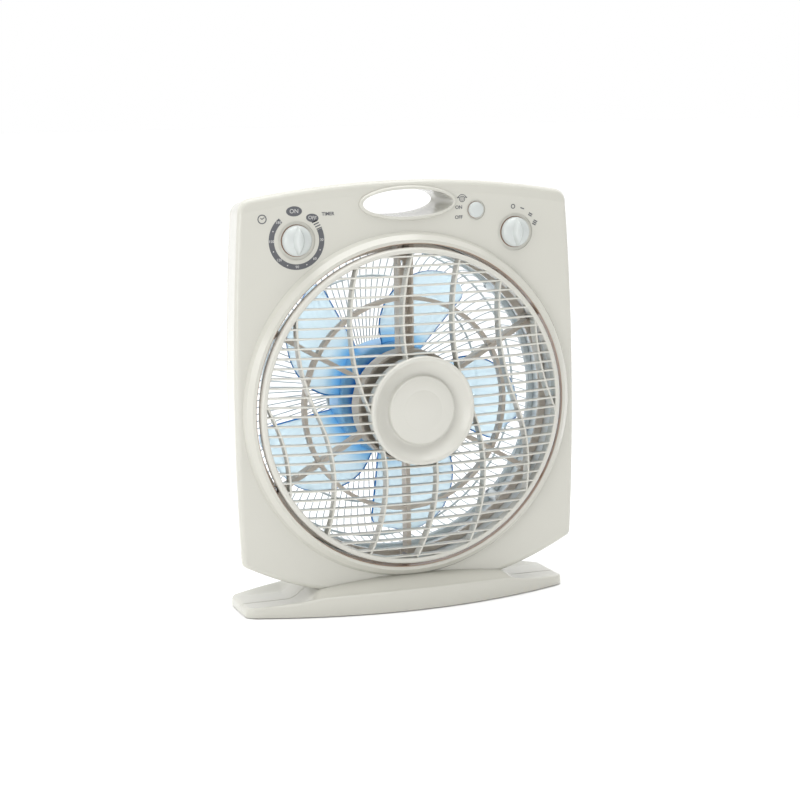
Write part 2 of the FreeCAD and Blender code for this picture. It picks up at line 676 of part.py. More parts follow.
def half_rib(place, side):
    """One arc of an S-shaped rib: the upper arc bows to -X and the lower one to +X."""
    half_height = (dim("louvre_ring") - dim("louvre_ring_width")) / 2
    sway = dim("rib_sway")
    radius = (half_height ** 2 + sway ** 2) / (2 * sway)
    centre_x = place + side * (radius - sway)
    centre_z = dim("fan_height") + side * half_height
    half_width = dim("rib_width") / 2
    arc = tube(radius + half_width, radius - half_width, "dims.hub_y", "dims.louvre_ring_y + 20",
               centre_x, centre_z, label="rib_arc")
    reach = 2 * half_height
    low, high = sorted((0, side * (reach + 5)))
    window = block((place - side * 2 * sway - 30, place - side * 2 * sway + 30 + 4 * sway),
                   ("dims.hub_y - 1", "dims.louvre_ring_y + 21"),
                   (f"dims.fan_height + {low}", f"dims.fan_height + {high}"))
    return common(arc, window)


def louvre_fittings():
    """Cap that closes the hub, the drive spindle and the screw that holds the louvre on it."""
    keep(turned((
        ("0", "dims.hub_y + 3.4"), ("36.2", "dims.hub_y + 4.2"), ("37.4", "dims.hub_y + 5.4"),
        ("38", "dims.hub_y + 7.2"), ("44", "dims.hub_y + 4.6"), ("49.5", "dims.hub_y + 1.6"),
        ("51.5", "dims.hub_y + 0.2"), ("53", "dims.hub_y"), ("54.6", "dims.hub_y + 0.5"),
        ("dims.hub_radius", "dims.hub_y + 1.8"), ("dims.hub_radius", "dims.hub_y + 3.9"),
        ("51.8", "dims.hub_y + 3.9"), ("51.8", "dims.hub_y + 8"), ("50", "dims.hub_y + 8"),
        ("50", "dims.hub_y + 4.5"), ("44", "dims.hub_y + 7.2"), ("38", "dims.hub_y + 9.4"),
        ("35", "dims.hub_y + 7"), ("0", "dims.hub_y + 6"),
    ), "hub_cap"), "hub_cap")
    keep(rod(2.5, "dims.hub_y + 11", "dims.cup_front + 12"), "louvre_spindle")
    keep(turned((
        ("0", "dims.hub_y + 7.4"), ("4.5", "dims.hub_y + 7.4"), ("4.5", "dims.hub_y + 10"),
        ("2.3", "dims.hub_y + 10"), ("2.3", "dims.hub_y + 11"), ("0", "dims.hub_y + 11"),
    ), "louvre_screw"), "louvre_screw")
    keep(cut(fuse(
        turned((
            ("0", "dims.cup_front + 7"), ("23", "dims.cup_front + 7"), ("24.5", "dims.cup_front + 8.5"),
            ("24.5", "dims.cup_front + 22.8"), ("0", "dims.cup_front + 22.8"),
        ), "gearmotor_case"),
        rod(6, "dims.cup_front + 4", "dims.cup_front + 8"),
        block((-34, 34), ("dims.cup_front + 21.3", "dims.cup_front + 22.8"),
              ("dims.fan_height - 5", "dims.fan_height + 5")),
    ), rod("2.5 + dims.running_gap", "dims.cup_front", "dims.cup_front + 12.3")), "louvre_gearmotor")


# ---------------------------------------------------------------- impeller

def impeller():
    """Hub cup with five twisted blades."""
    hub = turned((
        ("dims.shaft_radius", "dims.impeller_front"), ("dims.impeller_hub - 4", "dims.impeller_front"),
        ("dims.impeller_hub", "dims.impeller_front + 4"), ("dims.impeller_hub", "dims.impeller_back"),
        ("dims.impeller_hub - dims.impeller_wall", "dims.impeller_back"),
        ("dims.impeller_hub - dims.impeller_wall", "dims.impeller_front + 5"),
        ("dims.impeller_hub - 5", "dims.impeller_front + 2.5"), ("9", "dims.impeller_front + 2.5"),
        ("9", "dims.impeller_front + 17"), ("dims.shaft_radius", "dims.impeller_front + 17"),
    ), "impeller_hub")
    blades = []
    for number in range(BLADES):
        annulus = tube("dims.impeller_radius", "dims.impeller_hub - 1.5", "dims.blade_front - 5",
                       "dims.blade_back + 5", label="blade_annulus")
        blade = doc.addObject("Part::Loft", "blade")
        blade.Sections = [blade_section(*place) for place in BLADE_OUTLINE]
        blade.Solid = True
        blades.append(around(common(blade, annulus), -BLADE_TURN - number * 360 / BLADES))
    keep(fuse(hub, *blades), "impeller")


def blade_section(radius, rear_turn, front_turn):
    """A slanted strip, seen along the radius, from the rear edge to the front edge.

    The two turns are the edges' angles about the fan's axis, counted from the middle of the blade's root.
    """
    sketch = doc.addObject("Sketcher::SketchObject", "blade_section")
    sketch.Placement = FreeCAD.Placement(Vector(radius, 0, dim("fan_height")),
                                         FreeCAD.Rotation(Vector(0, 0, 1), Vector(0, -1, 0), Vector(1, 0, 0)))
    rear = Vector(radius * math.tan(math.radians(rear_turn)), -dim("blade_back"), 0)
    front = Vector(radius * math.tan(math.radians(front_turn)), -dim("blade_front"), 0)
    along = (front - rear).normalize()
    half = Vector(-along.y, along.x, 0) * (dim("blade_thickness") / 2)
    corners = (rear - half, front - half, front + half, rear + half)
    polygon(sketch, [(f"{corner.x:.4f}", f"{corner.y:.4f}") for corner in corners])
    return sketch


# ---------------------------------------------------------------- motor

def behind(distance):
    """A place that far behind the front of the motor."""
    return f"dims.motor_front + {distance}"


def motor():
    """Capacitor-run motor carried by the guard's plate."""
    keep(rod("dims.shaft_radius", "dims.impeller_front - 7", behind(42)), "motor_shaft")
    keep(tube(17.5, "dims.shaft_radius", behind(13), behind(29)), "rotor")
    core = tube(40, 18, behind(12), behind(30))
    slots = [around(block((17, 30), (behind(11), behind(31)), ("dims.fan_height - 2", "dims.fan_height + 2")),
                    45 + 90 * number) for number in range(4)]
    keep(cut(core, *slots), "stator_core")
    front_winding = tube(35, 20, behind(6), behind(11.8))
    rear_winding = tube(35, 20, behind(30.2), behind(36))
    keep(group(front_winding, rear_winding), "stator_windings")
    front_profile = (
        (8.1, 0), (12, 0), (12, 2), (38, 2), (42.5, 5), (42.5, 20.9),
        (40.2, 20.9), (40.2, 6.5), (37, 4), (12, 4), (12, 10), (8.1, 10),
    )
    bracket = turned([(radius, behind(y)) for radius, y in front_profile], "front_bracket_turned")
    keep(bracket, "motor_front_bracket")
    rear_profile = (
        (8.1, 31), (12, 31), (12, 40), (37, 40), (40.2, 37.5), (40.2, 21.1),
        (42.5, 21.1), (42.5, 43), (39, 46.8), (0, 46.8), (0, 43.5), (8.1, 43.5),
    )
    bracket = turned([(radius, behind(y)) for radius, y in rear_profile], "rear_bracket_turned")
    screw_holes = [around(rod("dims.screw_radius + dims.pilot_gap", behind(39), behind(50),
                              "dims.motor_screw_circle"), angle) for angle in MOTOR_SCREW_ANGLES]
    keep(cut(bracket, *screw_holes), "motor_rear_bracket")
    bearing_gap = "dims.shaft_radius + dims.running_gap"
    front_bearing = tube(8.1, bearing_gap, behind(0.5), behind(9.5))
    rear_bearing = tube(8.1, bearing_gap, behind(32), behind(41))
    keep(group(front_bearing, rear_bearing), "motor_bearings")
    keep(turned((
        ("dims.shaft_radius", "dims.impeller_front - 9"), ("6.5", "dims.impeller_front - 9"),
        ("9.5", "dims.impeller_front - 6.5"), ("9.5", "dims.impeller_front - 2"),
        ("7", "dims.impeller_front - 0.2"), ("dims.shaft_radius", "dims.impeller_front - 0.2"),
    ), "impeller_nut"), "impeller_nut")
    washer = tube(11, "dims.shaft_radius", "dims.impeller_front + 17.2", "dims.impeller_front + 18.4")
    keep(washer, "impeller_washer")
    keep(rod(14, "dims.face_y + dims.wall + 0.2", -3, -128, 62), "run_capacitor")


# ---------------------------------------------------------------- controls

def dial(side, box_size, name):
    """A knob with a grip bar, its spindle and the switch or timer behind the face."""
    x = f"{side}dims.dial_x"
    knob = turned((
        ("0", "dims.dial_front"), ("9", "dims.dial_front + 0.5"), ("14", "dims.dial_front + 2"),
        ("15.8", "dims.dial_front + 4"), ("dims.dial_radius", "dims.dial_front + 7.5"),
        ("dims.dial_radius", "dims.dial_back"), ("0", "dims.dial_back"),
    ), f"{name}_knob_disc", x, "dims.dial_z")
    half = "dims.dial_grip_width * 0.5"
    grip = block((f"{x} - {half}", f"{x} + {half}"), ("dims.dial_grip_front", "dims.dial_back - 1"),
                 ("dims.dial_z - dims.dial_radius", "dims.dial_z + dims.dial_radius"))
    grip = round_edges(grip, 2.4, lambda edge: in_plane(edge, dim("dial_grip_front")))
    rounder = rod("dims.dial_radius - 0.4", "dims.dial_grip_front - 5", "dims.dial_back", x, "dims.dial_z")
    bore = rod("dims.dial_shaft_radius", "dims.dial_front + 2", "dims.dial_back + 1", x, "dims.dial_z")
    keep(cut(fuse(knob, common(grip, rounder)), bore), f"{name}_knob")
    keep(rod("dims.dial_shaft_radius", "dims.dial_front + 2", "-18", x, "dims.dial_z"), f"{name}_spindle")
    half_box = f"dims.{name}_size * 0.5"
    housing = block((f"{x} - {half_box}", f"{x} + {half_box}"), ("dims.face_y + dims.wall + 0.2", "-9"),
                    (f"dims.dial_z - {half_box}", f"dims.dial_z + {half_box}"))
    hole = rod("dims.dial_shaft_radius + dims.running_gap", "dims.face_y", "-17.7", x, "dims.dial_z")
    keep(cut(housing, hole), box_size)


def swing_control():
    """Push button, its plunger and return spring, and the latching switch behind."""
    place = ("dims.button_x", "dims.button_z")
    button = turned((
        ("0", "dims.button_front"), ("5", "dims.button_front + 0.3"), ("7.4", "dims.button_front + 1.2"),
        ("dims.button_radius", "dims.button_front + 2.6"), ("dims.button_radius", "-29.2"),
        ("9.8", "-29.2"), ("9.8", "-28"), ("0", "-28"),
    ), "swing_button", *place)
    keep(button, "swing_button")
    keep(rod("dims.plunger_radius", "-28", "-14", *place), "swing_plunger")
    housing = block(("dims.button_x - 8", "dims.button_x + 8"), ("-21", "-6"),
                    ("dims.button_z - 8", "dims.button_z + 8"))
    keep(cut(housing, rod("dims.plunger_radius + dims.running_gap", "-22", "-10.5", *place)), "swing_switch")
    keep(button_spring(), "button_spring")


def button_spring():
    """Coil of round wire between the button's flange and the switch."""
    wire, radius, pitch, length = 0.35, 4.2, 1.5, 6.0
    helix = Part.makeHelix(pitch, length, radius)
    section = Part.Wire([Part.makeCircle(wire, Vector(radius, 0, 0), Vector(0, 1, 0))])
    spring = doc.addObject("Part::Feature", "button_spring")
    spring.Shape = Part.Wire(helix).makePipeShell([section], True, False)
    start = Vector(dim("button_x"), -27.6, dim("button_z"))
    spring.Placement = FreeCAD.Placement(start, ALONG_Y)
    return spring


# ---------------------------------------------------------------- base

def base_half(side, wall, label):
    """One bow-shaped half of the foot; a wall above zero draws every surface in by that much."""
    half_length, half_depth = dim("base_half_length"), dim("base_half_depth")
    sagitta = half_depth - dim("base_front_end_depth" if side < 0 else "base_rear_end_depth")
    bow = (half_length ** 2 + sagitta ** 2) / (2 * sagitta)
    low = dim("base_underside") if wall == 0 else -1
    inner_edge = side * (0.1 if wall == 0 else wall)
    outer_edge = side * (half_depth - wall)
    y_span = sorted((inner_edge, outer_edge))

    def lens(x_reach, top):
        disc = post(bow - wall, low, top, y=side * (half_depth - bow))
        return common(disc, block((-x_reach, x_reach), y_span, (low, top)))

    wing = lens(half_length - wall, dim("wing_top") - wall)
    if wall == 0:
        wing = round_edges(wing, 4.0, lambda edge: is_wing_rim(edge, side), label=f"{label}_wing")
    crest = dim("crest_top") - wall
    slope = math.atan2(dim("crest_top") - dim("lip_top"), half_depth + dim("crest_y"))
    arch = doc.addObject("Part::Cylinder", f"{label}_arch")
    arch.Radius = dim("crest_arch")
    arch.Height = 2 * half_depth
    tilt = FreeCAD.Rotation(Vector(0, 0, 1), Vector(0, -side * math.cos(slope), math.sin(slope)))
    lip = Vector(0, side * half_depth, dim("lip_top") - wall)
    upwards = Vector(0, side * math.sin(slope), math.cos(slope))
    start = lip - tilt.multVec(Vector(0, 0, 20)) - upwards * dim("crest_arch")
    arch.Placement = FreeCAD.Placement(start, tilt)
    hump = common(lens(dim("block_half_length") - wall, crest), arch, label=f"{label}_hump")
    return fuse(wing, hump, label=label)


def is_wing_rim(edge, side):
    """An upper outer edge of the wing, away from the seam."""
    top = dim("wing_top")
    points = [vertex.Point for vertex in edge.Vertexes]
    if any(abs(point.z - top) > 0.01 for point in points):
        return False
    return any(side * point.y > 1 for point in points)


def base(side, label):
    """A hollow foot half with feet posts and screw pillars, fitted under the case."""
    outer = base_half(side, 0, f"{label}_outer")
    inner = base_half(side, dim("wall"), f"{label}_inner")
    posts = [post(9, -2, 9, x=x, y=y) for x, y in FOOT_PLACES if y * side > 0]
    pillars = [post(6.5, -2, 24, x=x, y=y) for x, y in BASE_SCREWS if y * side > 0]
    deck = block(("-dims.block_half_length + 4", "dims.block_half_length - 4"),
                 ("-dims.base_half_depth", "dims.base_half_depth"),
                 ("dims.case_bottom - 2.7", "dims.case_bottom - 0.5"))
    shell = cut(outer, cut(cut(inner, *posts), fuse(deck, *pillars)))
    if side < 0:
        case = case_block("dims.face_y - dims.case_gap", "-dims.case_gap", "dims.seam_y + 1",
                          "dims.seam_inset - dims.case_gap", f"{label}_case")
    else:
        case = case_block("dims.seam_y - 1", "dims.seam_inset - dims.case_gap", "dims.back_y + dims.case_gap",
                          "dims.back_inset - dims.case_gap", f"{label}_case")
    holes = [post("dims.screw_radius + dims.pilot_gap", -1, 30, x=x, y=y) for x, y in BASE_SCREWS]
    holes += [post("dims.screw_head_radius + 0.5", -1, 4.5, x=x, y=y) for x, y in BASE_SCREWS]
    holes += [post(7.2, -1, 3, x=x, y=y) for x, y in FOOT_PLACES]
    keep(cut(shell, case, *holes), label)


# ---------------------------------------------------------------- fasteners and small pieces

def screw(y_head, y_tip, x, z, facing):
    """A pan-head screw along Y; facing is the side its head is on."""
    head = y_head - facing * 2.2
    profile = (
        ("0", str(y_tip)), ("dims.screw_radius", str(y_tip)), ("dims.screw_radius", str(head)),
        ("dims.screw_head_radius", str(head)), ("dims.screw_head_radius", str(y_head - facing * 0.7)),
        ("dims.screw_head_radius - 0.9", str(y_head)), ("0", str(y_head)),
    )
    return turned(profile, "screw", str(x), str(z))


def upright_screw(x, y):
    head = post("dims.screw_head_radius", 2.2, 4.4, x=x, y=y)
    return fuse(head, post("dims.screw_radius", 4.3, 24, x=x, y=y))


def small_pieces():
    """Screws, feet, terminal block and cable gland."""
    keep(group(*[screw(9.25, -17, x, z, 1) for x, z in CASE_SCREWS]), "case_screws")
    keep(group(*[upright_screw(x, y) for x, y in BASE_SCREWS]), "base_screws")
    spider_x = dim("flange_bore") + 3.4
    keep(group(*[around(screw(-7.3, 2.9, spider_x, dim("fan_height"), -1), angle)
                 for angle in spoke_angles()]), "spider_screws")
    guard_x = dim("rear_duct") - 4
    keep(group(*[around(screw(dim("guard_rim_y") + 4.8, 12, guard_x, dim("fan_height"), 1), angle)
                 for angle in GUARD_SCREW_ANGLES]), "guard_screws")
    guard_back, motor_x = dim("guard_back"), dim("motor_screw_circle")
    keep(group(*[around(screw(guard_back - 0.1, guard_back - 10.5, motor_x, dim("fan_height"), 1), angle)
                 for angle in MOTOR_SCREW_ANGLES]), "motor_screws")
    keep(group(*[post(7, 0, 2.9, x=x, y=y) for x, y in FOOT_PLACES]), "rubber_feet")
    keep(block((118, 148), ("dims.face_y + dims.wall + 0.2", -16), (62, 76)), "terminal_block")
    keep(turned((
        ("3.2", "21"), ("5.9", "21"), ("7.6", "22.5"), ("7.6", "25.3"), ("5.9", "25.3"), ("5.9", "28.2"),
        ("8", "28.2"), ("8", "30"), ("6.5", "31.5"), ("3.2", "31.5"),
    ), "cable_gland", *map(str, GLAND_PLACE)), "cable_gland")


# ---------------------------------------------------------------- build, check and write

def build():
    front_shell()
    rear_shell()
    front_spider()
    rear_guard()
    louvre_grille()
    louvre_fittings()
    impeller()
    motor()
    dial("-", "timer_housing", "timer")
    dial("", "speed_switch", "speed")
    swing_control()
    base(-1, "base_front")
    base(1, "base_rear")
    small_pieces()


def check_and_write():
    doc.recompute()
    for item in doc.Objects:
        if "Invalid" in item.State or "Error" in item.State:
            raise RuntimeError(f"{item.Label} failed: {item.State}")
    os.makedirs("parts", exist_ok=True)
    for item in finished:
        if item.Shape.isNull() or not item.Shape.isValid():
            raise RuntimeError(f"{item.Label} has no valid shape")
        item.Shape.exportStep(f"parts/{item.Label}.step")
        box = item.Shape.optimalBoundingBox(False)
        volume = item.Shape.Volume / 1000
        print(f"{item.Label:22s} solids {len(item.Shape.Solids):3d}  volume {volume:8.1f} cm3 "
              f" x {box.XMin:7.1f} {box.XMax:7.1f}  y {box.YMin:6.1f} {box.YMax:6.1f} "
              f" z {box.ZMin:6.1f} {box.ZMax:6.1f}")


build()
check_and_write()
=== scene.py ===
import json
import math

import bmesh
import bpy
from mathutils import Matrix, Vector


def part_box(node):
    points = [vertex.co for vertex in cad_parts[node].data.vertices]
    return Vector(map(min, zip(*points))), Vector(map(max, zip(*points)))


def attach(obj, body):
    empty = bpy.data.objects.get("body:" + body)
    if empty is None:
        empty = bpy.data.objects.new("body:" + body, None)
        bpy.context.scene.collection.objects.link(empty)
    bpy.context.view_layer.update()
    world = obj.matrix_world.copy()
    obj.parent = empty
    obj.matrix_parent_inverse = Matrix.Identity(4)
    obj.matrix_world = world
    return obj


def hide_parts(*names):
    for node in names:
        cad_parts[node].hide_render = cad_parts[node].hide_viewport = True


# The looks of a box fan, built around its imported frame. Shapes are worked out in millimetres.

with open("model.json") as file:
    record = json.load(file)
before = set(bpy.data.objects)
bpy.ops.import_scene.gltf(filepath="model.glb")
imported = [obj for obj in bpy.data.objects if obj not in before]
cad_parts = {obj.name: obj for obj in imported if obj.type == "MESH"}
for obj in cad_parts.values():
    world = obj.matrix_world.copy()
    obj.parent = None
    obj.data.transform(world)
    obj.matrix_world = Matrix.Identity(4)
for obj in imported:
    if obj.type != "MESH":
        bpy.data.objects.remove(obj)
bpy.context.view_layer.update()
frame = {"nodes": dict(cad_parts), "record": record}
NODES = frame["nodes"]
MM = 0.001


def corners(node):
    """Lowest and highest corner of a CAD node, in millimetres."""
    low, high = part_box(node)
    return low / MM, high / MM


SHELL_LOW, SHELL_HIGH = corners("front_shell")
CAP_LOW, CAP_HIGH = corners("hub_cap")
GRILLE_HIGH = corners("louvre_grille")[1]
IMPELLER_LOW, IMPELLER_HIGH = corners("impeller")
GUARD_LOW, GUARD_HIGH = corners("rear_guard")

AXIS_Z = (CAP_LOW.z + CAP_HIGH.z) / 2
COLLAR_Y = SHELL_LOW.y
COLLAR_HEIGHT = 10.0
FACE_Y = COLLAR_Y + COLLAR_HEIGHT
HUB_Y = CAP_LOW.y

# case: its duct's radius, and an arched top that falls by TOP_FALL at TOP_HALF_WIDTH from the middle
DUCT = 166.5
DUCT_EDGE = 0.2
# where the duct wall's painted brown shade gives way to painted near-white light behind it, and the
# half-width of that change
DUCT_SHADE_END = HUB_Y + 54.0
DUCT_SHADE_EDGE = 0.5
TOP_FALL = 16.0
TOP_HALF_WIDTH = 176.0
TOP_ARCH = TOP_FALL / TOP_HALF_WIDTH ** 2
TOP_BAND = 13.0
TOP_LEAN = 2.2

# louvre
HUB = CAP_HIGH.x
RING = GRILLE_HIGH.x
RING_WIDTH = 6.0
RING_INNER = RING - RING_WIDTH
RING_Y = HUB_Y + 24.0
RING_BACK = HUB_Y + 35.0
DOME_Y = HUB_Y + 4.0
SLATS_START = HUB - 1.1
SLATS_END = RING_INNER + 0.9
SLATS_EACH_SIDE = 16
SLAT_PITCH = 9.6
SLAT_HEIGHT = 1.7
SLAT_DEPTH = 7.0
SLAT_NOSE = 0.75
SLAT_STEP = 5.0
RIB_PLACES = (-151.0, -107.0, -54.0, 0.0, 54.0, 107.0, 151.0)
RIB_WIDTH = 1.9
RIB_DEPTH = 12.0
RIB_NOSE = 0.6
RIB_SUNK = 0.4
RIB_SWAY = 17.0
RIB_STEP = 1.5

# impeller: blade angles in degrees from the middle of a blade's root
BLADES = 5
BLADE_TURN = 72.0
BLADE_ROOT = 57.6
BLADE_RADIUS = 144.0
BLADE_INSET = 1.5
BLADE_HALF_THICKNESS = 1.1
BLADE_CAMBER = 5.0
BLADE_CORNER = 13.0
BLADE_REAR_ANGLE = -25.0
BLADE_FRONT_ANGLE = 30.0
BLADE_CORNER_ANGLES = (7.0, 11.0)
BLADE_SWEEP = 26.0
SWEEP_START = 70.0
SWEEP_SPAN = 67.0
BLADE_TINT = (56.0, 82.0)
IMPELLER_HUB = 60.0
HUB_WALL = 2.5
HUB_CORE = (46.0, 54.0)

# rear guard: hoops and bars are placed by their share of the basket's radius
GUARD_BARS = 112
GUARD_BAR = 1.3
GUARD_BAR_START = 0.29
GUARD_BAR_STEPS = 26
GUARD_BASKET = 161.0
GUARD_HOOPS = (0.77, 0.985)
GUARD_HOOP_WIRE = 1.25
GUARD_RIM_INNER = 157.0
GUARD_RIM_DEPTH = 7.0
GUARD_PLATE = 50.0
GUARD_SCREWS = 30.0
BASKET_OFFSET = 4.5
BASKET_ROUND = 3.0
BASKET_FLAT = 5.64

# base: side -1 is its front half and side 1 its rear half
BASE_HALF_LENGTH = 176.5
BASE_HALF_DEPTH = 60.0
BASE_END_DEPTH = {-1: 22.0, 1: 41.0}
BASE_CORNER = 8.0
BASE_END_ROUND = 4.0
BASE_EDGE = 3.2
BASE_UNDERSIDE = 1.0
BASE_STEP = 4.0
WING_TOP = 10.8
LIP_TOP = 23.0
CREST_TOP = 33.0
CREST_FALL = 7.5
CREST_HALF = 108.0
WING_START = 97.0
WING_BLEND = 30.0
CASE_REACH = {-1: 32.3, 1: 28.3}
CASE_BOTTOM = 10.6
CASE_FLAT_HALF = 51.0
CASE_BOTTOM_SLOPE = 0.35

# dials, button and print: TIMER_RING_ENDS are clockwise angles from straight up
DIAL_RADIUS = 15.3
DIAL_CROWN = 5.0
DIAL_DOME = 7.0
GRIP_HALF_WIDTH = 5.8
GRIP_RISE = 5.0
# the gap sizes below also size the dark rings of painted shade in the gaps round the knobs and button
DIAL_GAP = 0.75
DIAL_GAP_DEPTH = 0.9
BUTTON_X = 74.2
BUTTON_GAP = (8.0, 8.7)
BUTTON_GAP_DEPTH = 0.7
GAP_THICKNESS = 0.2
TIMER_RING = (23.3, 28.8)
TIMER_RING_ENDS = (66, 322)
PRINT_THICKNESS = 0.06
PRINT_SINK = 0.03

# mesh cleaning, in metres
MERGE_DISTANCE = 0.5e-5
TINY_EDGE = 1e-7

# plastics: noise scales in features per metre, heights in metres
DRIFT = 0.016
DRIFT_SCALE = 14.0
GLOSS_SCALE = 30.0
GLOSS_SWING = 0.015
WAVE_SCALE = 12.0
WAVE_STRENGTH = 0.03
WAVE_HEIGHT = 0.001
GRAIN_SCALE = 900.0
GRAIN_HEIGHT = 0.0001
COAT_ROUGHNESS = 0.12
SCREEN_GAMMA = 2.2


# ---------------------------------------------------------------- shapes

class Shape:
    """Points and faces gathered from sweeps, in millimetres."""

    def __init__(self):
        self.points = []
        self.faces = []
        self.marks = []

    def face(self, numbers, mark=0):
        self.faces.append(tuple(numbers))
        self.marks.append(mark)

    def skin(self, rows, loop=False, mark=0, edge_marks=None):
        """Join rows of points, each a closed loop, into a tube.

        A loop joins the last row to the first; otherwise both ends are closed with a cap.
        """
        first = len(self.points)
        width = len(rows[0])
        for row in rows:
            self.points.extend(row)
        spans = len(rows) if loop else len(rows) - 1
        for span in range(spans):
            here = first + span * width
            there = first + (span + 1) % len(rows) * width
            for column in range(width):
                following = (column + 1) % width
                chosen = edge_marks[column] if edge_marks else mark
                self.face((here + column, here + following, there + following, there + column), chosen)
        if not loop:
            self.face(range(first, first + width), mark)
            self.face(reversed(range(first + (len(rows) - 1) * width, first + len(rows) * width)), mark)

    def turned(self, profile, x=0.0, z=AXIS_Z, steps=128):
        """A closed (radius, y) profile carried round an axis along Y."""
        rows = []
        for step in range(steps):
            angle = 2 * math.pi * step / steps
            rows.append([Vector((x + radius * math.cos(angle), y, z + radius * math.sin(angle)))
                         for radius, y in profile])
        self.skin(rows, loop=True)

    def swept(self, stations, section):
        """A closed section of (side, deep) pairs carried along stations of (centre, side, deep)."""
        rows = [[centre + side * across + deep * down for across, down in section]
                for centre, side, deep in stations]
        self.skin(rows)

    def slab(self, outline, mark=0, y=FACE_Y):
        """A thin flat patch on the case's face, from a closed (x, z) outline."""
        levels = (y + PRINT_SINK, y - PRINT_THICKNESS)
        self.skin([[Vector((x, level, z)) for x, z in outline] for level in levels], mark=mark)


def rounded(outline, radius, steps=4):
    """A closed outline of pairs with every corner rounded; radius may be one number or one per corner.

    No corner takes more than just under half of the edges beside it.
    """
    edge_share = 0.48
    sharp = 0.01
    count = len(outline)
    radii = [radius] * count if isinstance(radius, (int, float)) else radius
    points = []
    for number, (corner, size) in enumerate(zip(outline, radii)):
        corner = Vector(corner)
        to_last = Vector(outline[number - 1]) - corner
        to_next = Vector(outline[(number + 1) % count]) - corner
        reach = min(size, edge_share * to_last.length, edge_share * to_next.length)
        if reach < sharp:
            points.append(tuple(corner))
            continue
        start = corner + to_last.normalized() * reach
        end = corner + to_next.normalized() * reach
        for step in range(steps + 1):
            share = step / steps
            point = start * (1 - share) ** 2 + corner * 2 * share * (1 - share) + end * share ** 2
            points.append(tuple(point))
    return points


def bar_section(width, depth, nose):
    """Rounded section of a slat or rib: its nose at depth 0 is rounder than its tail."""
    tail = 0.3
    half = width / 2
    return rounded([(-half, 0), (half, 0), (half, depth), (-half, depth)], [nose, nose, tail, tail], 3)


def piece(name, shape, body, materials, replaces=(), sharp_from=40):
    """Make a Blender object from a shape, parent it to its body's empty and hide the CAD nodes it replaces.
    """
    mesh = bpy.data.meshes.new(name)
    mesh.from_pydata([point * MM for point in shape.points], [], shape.faces)
    for material in materials:
        mesh.materials.append(material)
    mesh.polygons.foreach_set("material_index", shape.marks)
    cleaned = bmesh.new()
    cleaned.from_mesh(mesh)
    bmesh.ops.remove_doubles(cleaned, verts=cleaned.verts, dist=MERGE_DISTANCE)
    bmesh.ops.dissolve_degenerate(cleaned, edges=cleaned.edges, dist=TINY_EDGE)
    bmesh.ops.recalc_face_normals(cleaned, faces=cleaned.faces)
    cleaned.to_mesh(mesh)
    cleaned.free()
    mesh.shade_smooth()
    mesh.set_sharp_from_angle(angle=math.radians(sharp_from))
    item = bpy.data.objects.new(name, mesh)
    bpy.context.scene.collection.objects.link(item)
    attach(item, body)
    if replaces:
        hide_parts(*replaces)


# ---------------------------------------------------------------- materials

def linear(*levels):
    """A colour given in screen levels from 0 to 255."""
    return tuple((level / 255) ** SCREEN_GAMMA for level in levels) + (1.0,)


def new_material(name):
    """A material with its nodes, its links and its main shader."""
    material = bpy.data.materials.new(name)
    material.use_nodes = True
    nodes = material.node_tree.nodes
    return material, nodes, material.node_tree.links, nodes["Principled BSDF"]


def noise(nodes, links, scale, detail=2.0, roughness=0.5):
    """Noise fixed to the piece, with its scale in features per metre."""
    place = nodes.new("ShaderNodeTexCoord")
    texture = nodes.new("ShaderNodeTexNoise")
    texture.inputs["Scale"].default_value = scale
    texture.inputs["Detail"].default_value = detail
    texture.inputs["Roughness"].default_value = roughness
    links.new(place.outputs["Object"], texture.inputs["Vector"])
    return texture.outputs["Fac"]


def spread(nodes, links, source, low, high):
    """Map a noise's usual range to a span of values."""
    ranged = nodes.new("ShaderNodeMapRange")
    for socket, number in (("From Min", 0.15), ("From Max", 0.85), ("To Min", low), ("To Max", high)):
        ranged.inputs[socket].default_value = number
    links.new(source, ranged.inputs["Value"])
    return ranged.outputs["Result"]


def blended(nodes, links, source, first, second):
    """A colour between two, mixed by a value from 0 to 1."""
    mix = nodes.new("ShaderNodeMix")
    mix.data_type = "RGBA"
    links.new(source, mix.inputs["Factor"])
    mix.inputs["A"].default_value = first
    mix.inputs["B"].default_value = second
    return mix.outputs["Result"]


def bumped(nodes, links, height, strength, distance, under=None):
    """Surface relief from a height, laid over any relief underneath."""
    bump = nodes.new("ShaderNodeBump")
    bump.inputs["Strength"].default_value = strength
    bump.inputs["Distance"].default_value = distance
    links.new(height, bump.inputs["Height"])
    if under:
        links.new(under, bump.inputs["Normal"])
    return bump.outputs["Normal"]


